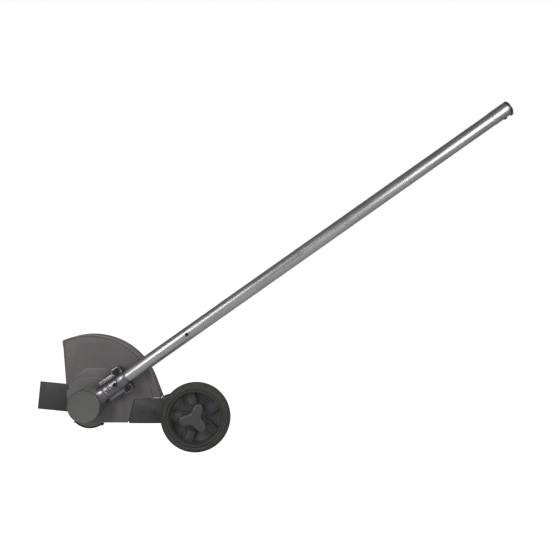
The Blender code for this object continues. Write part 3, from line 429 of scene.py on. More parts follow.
class Effect:
    """A shader node group whose inputs and outputs have names."""

    def __init__(self, name: str) -> None:
        """Start an empty group.

        Args:
            name: The group's name.
        """
        self.tree = bpy.data.node_groups.new(name, "ShaderNodeTree")
        self.inputs = self.tree.nodes.new("NodeGroupInput")
        self.outputs = self.tree.nodes.new("NodeGroupOutput")

    def takes(self, name: str, kind: str, value: object) -> bpy.types.NodeSocket:
        """Add a named input with its usual value, and return the socket that reads it."""
        socket = self.tree.interface.new_socket(name=name, in_out="INPUT", socket_type="NodeSocket" + kind)
        socket.default_value = value
        return self.inputs.outputs[name]

    def gives(self, name: str, kind: str, source: bpy.types.NodeSocket) -> None:
        """Add a named output that a socket feeds."""
        self.tree.interface.new_socket(name=name, in_out="OUTPUT", socket_type="NodeSocket" + kind)
        self.tree.links.new(source, self.outputs.inputs[name])

    def node(self, kind: str, output: str | int, settings: dict | None = None,
             **inputs: object) -> bpy.types.NodeSocket:
        """Add a node, wire or set its inputs, and return one of its outputs.

        Args:
            kind: The node's type, without "ShaderNode".
            output: Name or number of the output to return.
            settings: The node's own settings.
            inputs: Inputs by name, with _ for a space, or by number as i0, i1; each a socket or a value.

        Returns:
            The output socket.
        """
        made = self.tree.nodes.new("ShaderNode" + kind)
        for key, value in (settings or {}).items():
            setattr(made, key, value)
        for key, value in inputs.items():
            place = int(key[1:]) if key[0] == "i" and key[1:].isdigit() else key.replace("_", " ")
            if isinstance(value, bpy.types.NodeSocket):
                self.tree.links.new(value, made.inputs[place])
            else:
                made.inputs[place].default_value = value
        return made.outputs[output]

    def place(self) -> bpy.types.NodeSocket:
        """Return the object coordinates."""
        return self.node("TexCoord", "Object")

    def maths(self, operation: str, a: object, b: object = 0.0,
              clamped: bool = False) -> bpy.types.NodeSocket:
        """Return a sum of two values, made with one Math node."""
        return self.node("Math", 0, {"operation": operation, "use_clamp": clamped}, i0=a, i1=b)

    def fit(self, value: bpy.types.NodeSocket, low: object, high: object, to_low: object = 0.0,
            to_high: object = 1.0) -> bpy.types.NodeSocket:
        """Return a value moved smoothly from one range to another."""
        return self.node("MapRange", 0, {"interpolation_type": "SMOOTHSTEP"}, Value=value, From_Min=low,
                         From_Max=high, To_Min=to_low, To_Max=to_high)

    def mix(self, share: object, a: object, b: object) -> bpy.types.NodeSocket:
        """Return one colour mixed with another."""
        return self.node("Mix", 2, {"data_type": "RGBA"}, i0=share, i6=a, i7=b)


class Effects:
    """The shared node groups, each built once."""

    def __init__(self) -> None:
        """Build every group."""
        self.drift = self._drift()
        self.grain = self._grain()
        self.gloss = self._gloss()
        self.wear = self._wear()
        self.dust = self._dust()
        self.brushed = self._brushed()
        self.scratches = self._scratches()

    @staticmethod
    def _drift() -> bpy.types.NodeTree:
        """Return the group that lets a colour drift slowly to a second one, with fine mottling."""
        effect = Effect("colour_drift")
        first = effect.takes("Colour", "Color", (0.1, 0.1, 0.1, 1))
        second = effect.takes("Second", "Color", (0, 0, 0, 1))
        patches, specks = effect.takes("Patches", "Float", 30.0), effect.takes("Specks", "Float", 1500.0)
        where = effect.place()
        broad = effect.node("TexNoise", "Fac", Vector=where, Scale=patches, Detail=4.0, Roughness=0.6)
        fine = effect.node("TexNoise", "Fac", Vector=where, Scale=specks, Detail=2.0, Roughness=0.7)
        blend = effect.maths("ADD", effect.maths("MULTIPLY", broad, 0.7), effect.maths("MULTIPLY", fine, 0.3))
        effect.gives("Colour", "Color", effect.mix(effect.fit(blend, 0.36, 0.64), first, second))
        return effect.tree

    @staticmethod
    def _grain() -> bpy.types.NodeTree:
        """Return the group for the fine relief of a casting, a moulding or a powder coat."""
        effect = Effect("grain")
        size, cells = effect.takes("Scale", "Float", 1500.0), effect.takes("Cells", "Float", 0.5)
        where = effect.place()
        noise = effect.node("TexNoise", "Fac", Vector=where, Scale=size, Detail=3.0, Roughness=0.6)
        pebbles = effect.node("TexVoronoi", "Distance", {"feature": "SMOOTH_F1"}, Vector=where, Scale=size,
                              Smoothness=0.6)
        broad = effect.node("TexNoise", "Fac", Vector=where, Scale=effect.maths("MULTIPLY", size, 0.09),
                            Detail=2.0)
        height = effect.node("Mix", 0, {"data_type": "FLOAT"}, i0=cells, i2=noise, i3=pebbles)
        effect.gives("Height", "Float", effect.maths("ADD", height, effect.maths("MULTIPLY", broad, 0.8)))
        return effect.tree

    @staticmethod
    def _gloss() -> bpy.types.NodeTree:
        """Return the group that varies roughness between two values, in handled and dull patches."""
        effect = Effect("gloss")
        low, high = effect.takes("Low", "Float", 0.3), effect.takes("High", "Float", 0.5)
        size = effect.takes("Scale", "Float", 60.0)
        where = effect.place()
        broad = effect.node("TexNoise", "Fac", Vector=where, Scale=size, Detail=5.0, Roughness=0.65,
                            Distortion=0.4)
        effect.gives("Roughness", "Float", effect.fit(broad, 0.35, 0.65, low, high))
        return effect.tree

    @staticmethod
    def _wear() -> bpy.types.NodeTree:
        """Return the group that rubs the coating thin along edges."""
        effect = Effect("edge_wear")
        colour = effect.takes("Colour", "Color", (0.1, 0.1, 0.1, 1))
        bare = effect.takes("Bare", "Color", (1, 1, 1, 1))
        amount, size = effect.takes("Amount", "Float", 0.5), effect.takes("Scale", "Float", 400.0)
        reach = effect.takes("Reach", "Float", 0.001)
        true_normal = effect.node("NewGeometry", "Normal")
        round_normal = effect.node("Bevel", "Normal", {"samples": 4}, Radius=reach)
        turned = effect.node("VectorMath", "Value", {"operation": "DOT_PRODUCT"}, i0=true_normal,
                             i1=round_normal)
        edge = effect.fit(turned, 0.995, 0.90)
        patches = effect.node("TexNoise", "Fac", Vector=effect.place(), Scale=size, Detail=4.0, Roughness=0.7)
        mask = effect.maths("MULTIPLY", effect.maths("MULTIPLY", edge, effect.fit(patches, 0.38, 0.58)),
                            amount, True)
        effect.gives("Colour", "Color", effect.mix(mask, colour, bare))
        return effect.tree

    @staticmethod
    def _dust() -> bpy.types.NodeTree:
        """Return the group for pale dust that settles on faces that look up and in low patches."""
        effect = Effect("dust")
        colour = effect.takes("Colour", "Color", (0.1, 0.1, 0.1, 1))
        pale = effect.takes("Dust", "Color", (1, 1, 1, 1))
        amount, size = effect.takes("Amount", "Float", 0.3), effect.takes("Scale", "Float", 120.0)
        normal = effect.node("TexCoord", "Normal")
        upward = effect.node("SeparateXYZ", "Z", Vector=normal)
        patches = effect.node("TexNoise", "Fac", Vector=effect.place(), Scale=size, Detail=6.0,
                              Roughness=0.75)
        share = effect.maths("MULTIPLY", effect.fit(patches, 0.40, 0.72),
                             effect.fit(upward, -0.6, 1.0, 0.25, 1.0))
        mask = effect.maths("MULTIPLY", share, amount, True)
        effect.gives("Colour", "Color", effect.mix(mask, colour, pale))
        effect.gives("Mask", "Float", mask)
        return effect.tree

    @staticmethod
    def _brushed() -> bpy.types.NodeTree:
        """Return the group for fine drawn lines that run one way over metal."""
        effect = Effect("drawn_lines")
        rotation = effect.takes("Rotation", "Vector", (0.0, 0.0, 0.0))
        size, stretch = effect.takes("Scale", "Float", 3000.0), effect.takes("Stretch", "Float", 0.02)
        flat = effect.node("CombineXYZ", 0, X=stretch, Y=1.0, Z=1.0)
        turned = effect.node("Mapping", 0, Vector=effect.place(), Rotation=rotation)
        along = effect.node("VectorMath", 0, {"operation": "MULTIPLY"}, i0=turned, i1=flat)
        lines = effect.node("TexNoise", "Fac", Vector=along, Scale=size, Detail=4.0, Roughness=0.65)
        broad = effect.node("TexNoise", "Fac", Vector=along, Scale=effect.maths("MULTIPLY", size, 0.12),
                            Detail=3.0)
        effect.gives("Height", "Float", lines)
        tone = effect.maths("ADD", effect.maths("MULTIPLY", lines, 0.5), effect.maths("MULTIPLY", broad, 0.5))
        effect.gives("Tone", "Float", effect.fit(tone, 0.35, 0.65))
        return effect.tree

    @staticmethod
    def _scratches() -> bpy.types.NodeTree:
        """Return the group for thin scratches in two directions."""
        effect = Effect("scratches")
        size, amount = effect.takes("Scale", "Float", 120.0), effect.takes("Amount", "Float", 0.5)
        where = effect.place()
        masks = []
        for tilt, squeeze in ((0.5, (1.0, 0.3, 0.06)), (-0.9, (0.05, 0.3, 1.0))):
            turned = effect.node("Mapping", 0, Vector=where, Rotation=(0.0, tilt, 0.0), Scale=squeeze)
            veins = effect.node("TexVoronoi", "Distance", {"feature": "DISTANCE_TO_EDGE"}, Vector=turned,
                                Scale=size)
            broken = effect.node("TexNoise", "Fac", Vector=where, Scale=effect.maths("MULTIPLY", size, 0.7),
                                 Detail=3.0)
            masks.append(effect.maths("MULTIPLY", effect.fit(veins, 0.012, 0.0),
                                      effect.fit(broken, 0.5, 0.62)))
        mask = effect.maths("MULTIPLY", effect.maths("MAXIMUM", masks[0], masks[1]), amount, True)
        effect.gives("Mask", "Float", mask)
        return effect.tree


@dataclass(frozen=True)
class Finish:
    """One surface finish, with the share that each shared effect has in it."""

    name: str
    colour: Colour
    second: Colour                      # the colour that it drifts to
    roughness: Point                    # lowest and highest
    metallic: float = 0.0
    specular: float = 0.5
    patches: float = 30.0               # patches of colour to a metre
    specks: float = 1500.0              # mottling to a metre
    gloss_ratio: float = 1.6            # patches of gloss to one of colour
    grain_scale: float = 1500.0
    grain_depth: float = 0.0            # in metres
    grain_cells: float = 0.5            # share of pebbled grain in the grain
    wear: float = 0.0                   # share of the edges that is rubbed
    wear_reach: float = 0.0008          # how far wear reaches from an edge, in metres
    bare: Colour = (0.45, 0.45, 0.45, 1.0)
    dust: float = 0.0                   # share that dust covers
    dust_colour: Colour = (0.30, 0.28, 0.25, 1.0)
    dust_dulls: float = 0.4             # roughness that full dust adds
    lines_scale: float = 3000.0
    lines_depth: float = 0.0            # in metres
    lines_rotation: tuple[float, float, float] = (0.0, 0.0, 0.0)
    lines_gloss: float = 0.0            # roughness that drawn lines add
    scratches: float = 0.0              # how strongly scratches show

    def make(self, effects: Effects) -> bpy.types.Material:
        """Return the finish as a material.

        Args:
            effects: The shared node groups.

        Returns:
            The material, with its shader's constant values on the shader's own sockets.
        """
        material = bpy.data.materials.new(self.name)
        material.use_nodes = True
        material.diffuse_color = self.colour
        tree = material.node_tree
        shader = tree.nodes["Principled BSDF"]

        def group(kind: bpy.types.NodeTree, **inputs: object) -> bpy.types.Node:
            """Place a shared group, and wire or set its inputs."""
            made = tree.nodes.new("ShaderNodeGroup")
            made.node_tree = kind
            for key, value in inputs.items():
                if isinstance(value, bpy.types.NodeSocket):
                    tree.links.new(value, made.inputs[key])
                else:
                    made.inputs[key].default_value = value
            return made

        def maths(operation: str, a: object, b: object) -> bpy.types.NodeSocket:
            """Return the result of one Math node, clamped to 0 and 1."""
            made = tree.nodes.new("ShaderNodeMath")
            made.operation, made.use_clamp = operation, True
            for socket, value in zip(made.inputs, (a, b)):
                if isinstance(value, bpy.types.NodeSocket):
                    tree.links.new(value, socket)
                else:
                    socket.default_value = value
            return made.outputs[0]

        colour = group(effects.drift, Colour=self.colour, Second=self.second, Patches=self.patches,
                       Specks=self.specks).outputs["Colour"]
        rough = group(effects.gloss, Low=self.roughness[0], High=self.roughness[1],
                      Scale=self.patches * self.gloss_ratio).outputs["Roughness"]
        heights = []
        if self.lines_gloss:
            lines = group(effects.brushed, Rotation=self.lines_rotation, Scale=self.lines_scale)
            if self.lines_depth:
                heights.append((lines.outputs["Height"], self.lines_depth))
            rough = maths("ADD", rough, maths("MULTIPLY", lines.outputs["Tone"], self.lines_gloss))
        if self.grain_depth:
            grain = group(effects.grain, Scale=self.grain_scale, Cells=self.grain_cells)
            heights.append((grain.outputs["Height"], self.grain_depth))
        if self.scratches:
            scored = group(effects.scratches, Amount=self.scratches)
            blend = tree.nodes.new("ShaderNodeMix")
            blend.data_type = "RGBA"
            tree.links.new(scored.outputs["Mask"], blend.inputs[0])
            tree.links.new(colour, blend.inputs[6])
            blend.inputs[7].default_value = self.bare
            colour = blend.outputs[2]
        if self.wear:
            colour = group(effects.wear, Colour=colour, Bare=self.bare, Amount=self.wear,
                           Reach=self.wear_reach).outputs["Colour"]
        if self.dust:
            dusty = group(effects.dust, Colour=colour, Dust=self.dust_colour, Amount=self.dust)
            colour = dusty.outputs["Colour"]
            rough = maths("ADD", rough, maths("MULTIPLY", dusty.outputs["Mask"], self.dust_dulls))
        tree.links.new(colour, shader.inputs["Base Color"])
        tree.links.new(rough, shader.inputs["Roughness"])
        shader.inputs["Metallic"].default_value = self.metallic
        shader.inputs["Specular IOR Level"].default_value = self.specular
        normal = None
        for height, depth in heights:
            bump = tree.nodes.new("ShaderNodeBump")
            bump.inputs["Strength"].default_value = 1.0
            bump.inputs["Distance"].default_value = depth
            tree.links.new(height, bump.inputs["Height"])
            if normal is not None:
                tree.links.new(normal, bump.inputs["Normal"])
            normal = bump.outputs["Normal"]
        if normal is not None:
            tree.links.new(normal, shader.inputs["Normal"])
        return material


def grey(level: float) -> Colour:
    """Return a neutral grey of a linear level."""
    return level, level, level, 1.0


class Paints:
    """Every finish on the edger, by its name."""

    def __init__(self, rise: float) -> None:
        """Make the materials.

        Args:
            rise: The boom's angle above level, which the drawn lines on the tube follow.
        """
        effects = Effects()
        along = (0.0, rise, 0.0)
        finishes = [
            Finish("tube_metal", grey(0.48), grey(0.42), roughness=(0.34, 0.42), metallic=1.0, patches=14.0,
                   lines_scale=900.0, lines_rotation=along, lines_gloss=0.02),
            Finish("case_paint", (0.102, 0.103, 0.096, 1), (0.090, 0.091, 0.085, 1), roughness=(0.46, 0.58),
                   patches=35.0, grain_scale=1400.0, grain_depth=0.00006, wear=0.35, bare=grey(0.22),
                   dust=0.10, specular=0.3),
            Finish("cast_metal", (0.225, 0.215, 0.235, 1), (0.15, 0.145, 0.16, 1), roughness=(0.24, 0.38),
                   metallic=0.95, patches=90.0, grain_scale=700.0, grain_depth=0.00018, grain_cells=0.3,
                   wear=0.8, bare=grey(0.60), dust=0.05),
            # painted shade: a near-black finish for the inside of the lock slot and the hollows of the clamp
            # ears
            Finish("painted_shade_cast", grey(0.040), grey(0.030), roughness=(0.50, 0.60), patches=90.0,
                   grain_scale=900.0, grain_depth=0.00008, specular=0.3),
            Finish("guard_plastic", (0.108, 0.100, 0.100, 1), (0.096, 0.090, 0.090, 1),
                   roughness=(0.46, 0.58), patches=12.0, grain_scale=2200.0, grain_depth=0.00004,
                   grain_cells=0.7, wear=0.5, bare=grey(0.20), dust=0.08, scratches=0.25, specular=0.3),
            # painted highlight: a lighter grey for the guard's forward-facing bevels
            Finish("guard_painted_highlight", (0.175, 0.166, 0.166, 1), (0.150, 0.142, 0.142, 1), roughness=(0.42, 0.54),
                   patches=40.0, grain_scale=2200.0, grain_depth=0.00003, specular=0.4),
            # painted shade: a darker plastic for the front lip and dish wall of the wheel's rim
            Finish("wheel_rim_painted_shade", (0.040, 0.041, 0.038, 1), (0.033, 0.034, 0.031, 1), roughness=(0.44, 0.56),
                   patches=30.0, grain_scale=2400.0, grain_depth=0.00004, dust=0.05, specular=0.3),
            Finish("blade_steel", grey(0.044), grey(0.038), roughness=(0.40, 0.54), patches=25.0,
                   grain_scale=2600.0, grain_depth=0.00003, wear=0.4, bare=grey(0.12), dust=0.04,
                   scratches=0.2, specular=0.3),
            Finish("black_screw_steel", grey(0.012), grey(0.009), roughness=(0.34, 0.46), metallic=0.0,
                   specular=0.4, patches=200.0, wear=0.35, bare=grey(0.12)),
            Finish("wheel_plastic", (0.062, 0.062, 0.065, 1), (0.052, 0.052, 0.055, 1),
                   roughness=(0.38, 0.50), patches=30.0, grain_scale=2400.0, grain_depth=0.00004,
                   grain_cells=0.7, wear=0.30, bare=grey(0.13), dust=0.06, specular=0.4),
            Finish("tyre_rubber", (0.041, 0.043, 0.036, 1), (0.034, 0.036, 0.030, 1), roughness=(0.54, 0.68),
                   patches=40.0, grain_scale=1800.0, grain_depth=0.00006, dust=0.10,
                   dust_colour=(0.08, 0.085, 0.062, 1), specular=0.3),
            Finish("knob_plastic", (0.054, 0.053, 0.057, 1), (0.046, 0.046, 0.049, 1), roughness=(0.34, 0.46),
                   patches=60.0, grain_scale=2600.0, grain_depth=0.00003, wear=0.30, bare=grey(0.10),
                   dust=0.05, specular=0.4),
            Finish("soft_rubber", grey(0.020), grey(0.015), roughness=(0.55, 0.70), patches=60.0,
                   grain_scale=2000.0, grain_depth=0.00004, dust=0.15),
            Finish("cap_plastic", grey(0.016), grey(0.012), roughness=(0.32, 0.45), patches=60.0,
                   grain_scale=2400.0, grain_depth=0.00002),
            Finish("bright_steel", grey(0.60), grey(0.50), roughness=(0.22, 0.36), metallic=1.0,
                   patches=120.0, lines_depth=0.000006, lines_scale=4000.0, lines_gloss=0.10),
            Finish("bearing_bronze", (0.42, 0.27, 0.13, 1), (0.34, 0.21, 0.10, 1), roughness=(0.34, 0.48),
                   metallic=1.0, patches=120.0, grain_scale=3000.0, grain_depth=0.00002),
        ]
        self.materials = {finish.name: finish.make(effects) for finish in finishes}

    def dress(self, piece: bpy.types.Object, finish: str) -> None:
        """Give a piece one finish all over."""
        material = self.materials[finish]
        if piece.material_slots:
            for place in piece.material_slots:
                place.material = material
        else:
            piece.data.materials.append(material)


@dataclass
class Assembly:
    """What every sub-assembly needs: frames, finishes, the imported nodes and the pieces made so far."""

    frames: Frames
    paints: Paints
    nodes: dict[str, bpy.types.Object]
    made: list[bpy.types.Object] = field(default_factory=list)

    def settle(self, piece: bpy.types.Object, frame: Matrix, body: Body, finish: str, slot: Slot,
               *nodes: str, angle: float = 32.0) -> bpy.types.Object:
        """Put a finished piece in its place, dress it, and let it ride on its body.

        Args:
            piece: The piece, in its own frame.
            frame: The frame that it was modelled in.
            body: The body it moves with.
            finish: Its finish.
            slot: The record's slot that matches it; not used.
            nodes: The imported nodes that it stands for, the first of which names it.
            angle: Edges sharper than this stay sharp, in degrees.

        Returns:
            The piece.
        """
        Bench.move(piece, frame)
        Bench.hold(piece)
        bpy.ops.object.shade_smooth_by_angle(angle=math.radians(angle))
        piece.name = piece.data.name = nodes[0] + "_finished"
        self.paints.dress(piece, finish)
        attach(piece, body.value)
        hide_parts(*nodes)
        self.made.append(piece)
        return piece

    def repaint(self, piece: bpy.types.Object, finish: str, rule: Rule) -> None:
        """Give the faces of a settled piece that a rule picks another finish.

        Args:
            piece: The piece, in its place.
            finish: The finish of those faces.
            rule: Tells from a face's middle and normal whether it is one of them.
        """
        piece.data.materials.append(self.paints.materials[finish])
        Bench.open(piece, "FACE")
        Bench.pick(piece, "FACE", rule)
        piece.active_material_index = len(piece.data.materials) - 1
        bpy.ops.object.material_slot_assign()
        Bench.close()

    def carry(self, finish: str, *nodes: str) -> None:
        """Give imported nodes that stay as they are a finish."""
        for name in nodes:
            self.paints.dress(self.nodes[name], finish)


# ---------------------------------------------------------------- boom

@dataclass
class Boom(Assembly):
    """The tube with its swaged end, end collar, spring button and rivet."""

    reach: float = 0.9170               # gear axes' crossing to the upper end
    radius: float = 0.0120
    wall: float = 0.0015
    foot: float = 0.0580                # lower end, inside the clamp
    socket_radius: float = 0.0125       # swaged upper end
    socket_length: float = 0.0300
    taper: float = 0.0050
    taper_steps: int = 8
    collar_length: float = 0.0043
    collar_bore: float = 0.0086
    plug_length: float = 0.006          # collar's plug inside the tube
    lug_stands: float = 0.0023
    lug_root: float = 0.0015            # how deep the lug sits in the collar
    lug_half_width: float = 0.0035
    button_setback: float = 0.0160
    button_radius: float = 0.00325
    button_stands: float = 0.0020
    button_base: float = 0.0080
    button_drop: float = 0.0004         # how far the crown's middle is cut down
    ramp: float = 20.0                  # slope of the button's crown, in degrees
    rivet_place: float = 0.2190
    rivet_radius: float = 0.0034
    rivet_crown: float = 0.0009
    rivet_shank: float = 0.0016
    rivet_root: float = 0.0085          # inner end, from the boom's axis
    rivet_hole: float = 0.0019
    set_hole: float = 0.0030
    hole_margin: float = 0.0060         # plain tube between a hole and the next ring of the mesh
    drill: Point = (0.005, 0.020)       # between which a tool drills one wall, from the boom's axis

    def build(self) -> None:
        """Build and settle every piece of the boom."""
        self._tube()
        self._collar()
        self._button()
        self._rivet()
        self.carry("cap_plastic", "lower_bushing", "middle_bushing", "upper_bushing")
        self.carry("bright_steel", "button_leaf", "drive_shaft")

    def _tube(self) -> None:
        """Turn the tube, with rings close to its holes so that they stay clean."""
        top = self.reach - self.collar_length - GAP
        taper_top = top - self.socket_length
        inner = self.radius - self.wall
        profile = [(self.socket_radius, top)]
        button, rivet, near = self.reach - self.button_setback, self.rivet_place, self.hole_margin
        profile += [(self.socket_radius, button + near), (self.socket_radius, button - near)]
        for i in range(self.taper_steps + 1):
            share = i / self.taper_steps
            ease = share * share * (3.0 - 2.0 * share)
            profile.append((self.socket_radius + (self.radius - self.socket_radius) * ease,
                            taper_top - self.taper * share))
        profile += [(self.radius, rivet + near), (self.radius, rivet - near), (self.radius, self.foot)]
        profile += [(inner, self.foot), (inner, rivet - near), (inner, rivet + near), (inner, button - near),
                    (inner, button + near), (inner, top)]
        tube = Bench.lathe("boom_tube", profile, steps=96)
        Bench.soften(tube, 0.0003, angle=50.0)
        holes = [("button_hole", self.button_radius + GAP, 40, button, DOWNWARD),
                 ("rivet_hole", self.rivet_hole, 24, rivet, FORWARD),
                 ("set_hole", self.set_hole, 24, SET_PLACE, FORWARD)]
        Bench.cut(tube, *(Bench.move(Bench.rod(name, radius, *self.drill, steps=steps), at(z=place), way)
                          for name, radius, steps, place, way in holes))
        self.settle(tube, self.frames.boom, Body.FRAME, "tube_metal", Slot.TUBE, "boom_tube")

    def _collar(self) -> None:
        """Turn the end collar, with its plug inside the tube and its locating lug."""
        foot = self.reach - self.collar_length
        plug, bore, inner_end = self.radius - self.wall - GAP, self.collar_bore, foot - self.plug_length
        profile = [(self.socket_radius, self.reach), (self.socket_radius, foot), (plug, foot),
                   (plug, inner_end), (bore, inner_end), (bore, self.reach)]
        collar = Bench.lathe("end_collar", profile, steps=96)
        Bench.soften(collar, 0.0005, segments=3)
        inset = 0.0001
        lug = Bench.block("collar_lug",
                          (-self.socket_radius - self.lug_stands, -self.lug_half_width, foot + inset),
                          (-self.socket_radius + self.lug_root, self.lug_half_width, self.reach - inset),
                          rounded=0.0008, softened=0.0003)
        Bench.join(collar, lug)
        self.settle(collar, self.frames.boom, Body.FRAME, "cap_plastic", Slot.PLASTIC, "end_collar")

    def _button(self) -> None:
        """Turn the spring button and slope its crown towards the boom's end."""
        crown = self.socket_radius + self.button_stands
        profile = [(0.0, crown), (self.button_radius, crown), (self.button_radius, self.button_base),
                   (0.0, self.button_base)]
        button = Bench.lathe("lock_button", profile, steps=48, joined=False)
        lean = math.radians(self.ramp)
        Bench.slice(button, (0.0, 0.0, crown - self.button_drop), (-math.sin(lean), 0.0, math.cos(lean)))
        Bench.soften(button, 0.0004, segments=3)
        place = at(z=self.reach - self.button_setback) @ DOWNWARD
        self.settle(button, self.frames.boom @ place, Body.BUTTON, "black_screw_steel", Slot.SCREW,
                    "lock_button")

    def _rivet(self) -> None:
        """Turn the domed rivet that pins the lower bushing."""
        seat = self.radius + GAP
        dome = [(self.rivet_radius * math.sin(a), seat + self.rivet_crown * math.cos(a)) for a in
                (math.radians(step) for step in range(0, 91, 15))]
        profile = [(0.0, dome[0][1])] + dome[1:]
        profile += [(self.rivet_shank, seat), (self.rivet_shank, self.rivet_root), (0.0, self.rivet_root)]
        rivet = Bench.lathe("tube_rivet", profile, steps=32, joined=False)
        self.settle(rivet, self.frames.boom @ at(z=self.rivet_place) @ FORWARD, Body.FRAME,
                    "black_screw_steel", Slot.SCREW, "tube_rivet")


# ---------------------------------------------------------------- fasteners

@dataclass(frozen=True)
class CapScrew:
    """A socket screw with a round head, standing on its seat along z."""

    shank: float            # radius
    length: float
    head: float             # radius
    height: float
    socket: float           # half of the key's width across flats
    knurls: int = 0         # grooves round the head
    steps: int = 48
    pitch: float = 0.0008
    lead: float = 0.0006    # plain shank under the head

    def make(self, name: str) -> bpy.types.Object:
        """Return the screw with its seat at height 0 and its shank below."""
        profile = [(0.0, self.height), (self.head, self.height), (self.head, 0.0), (self.shank, 0.0)]
        root, tip = self.shank * 0.90, self.shank * 0.8
        turns = int((self.length - 0.0010) / self.pitch)
        for i in range(turns):
            z = -self.lead - i * self.pitch
            profile += [(self.shank, z), (root, z - self.pitch * 0.5)]
        profile += [(self.shank, -self.lead - turns * self.pitch), (tip, -self.length), (0.0, -self.length)]
        screw = Bench.lathe(name, profile, steps=self.steps, joined=False)
        tools = []
        groove_radius, groove_circle = 0.00028, self.head + 0.0001
        for i in range(self.knurls):
            groove = Bench.rod(f"{name}_groove_{i}", groove_radius, self.height * 0.18, self.height * 0.84,
                               steps=8)
            tools.append(Bench.move(groove, at(*polar(groove_circle, 360.0 * i / self.knurls))))
        key = Bench.rod(name + "_key", self.socket / math.cos(math.pi / 6),
                        self.height - 0.0016 - self.socket * 0.4, self.height + 0.002, steps=6)
        Bench.cut(screw, *tools, key)
        return screw


@dataclass(frozen=True)
class HexNut:
    """A hexagon nut with chamfered corners, standing along z."""

    across: float           # across flats
    bore: float             # radius
    height: float

    def make(self, name: str) -> bpy.types.Object:
        """Return the nut, from height 0 up."""
        nut = Bench.rod(name, self.across / math.sqrt(3.0), 0.0, self.height, steps=6)
        past, proud = 0.001, 0.0002
        corner, flat = self.across / math.sqrt(3.0) + past, self.across / 2
        face, slope = flat * 0.96, (corner - flat) * 0.58
        profile = [(0.0, self.height + proud), (face, self.height + proud), (corner, self.height - slope),
                   (corner, slope), (face, -proud), (0.0, -proud)]
        cone = Bench.lathe(name + "_cone", profile, steps=72, joined=False)
        Bench.combine(nut, [cone], "INTERSECT")
        lead = 0.0005
        mouth = self.bore + lead + past
        profile = [(0.0, self.height + past), (mouth, self.height + past), (self.bore, self.height - lead),
                   (self.bore, lead), (mouth, -past), (0.0, -past)]
        bore = Bench.lathe(name + "_bore", profile, steps=48, joined=False)
        Bench.cut(nut, bore)
        return nut


# ---------------------------------------------------------------- gearcase

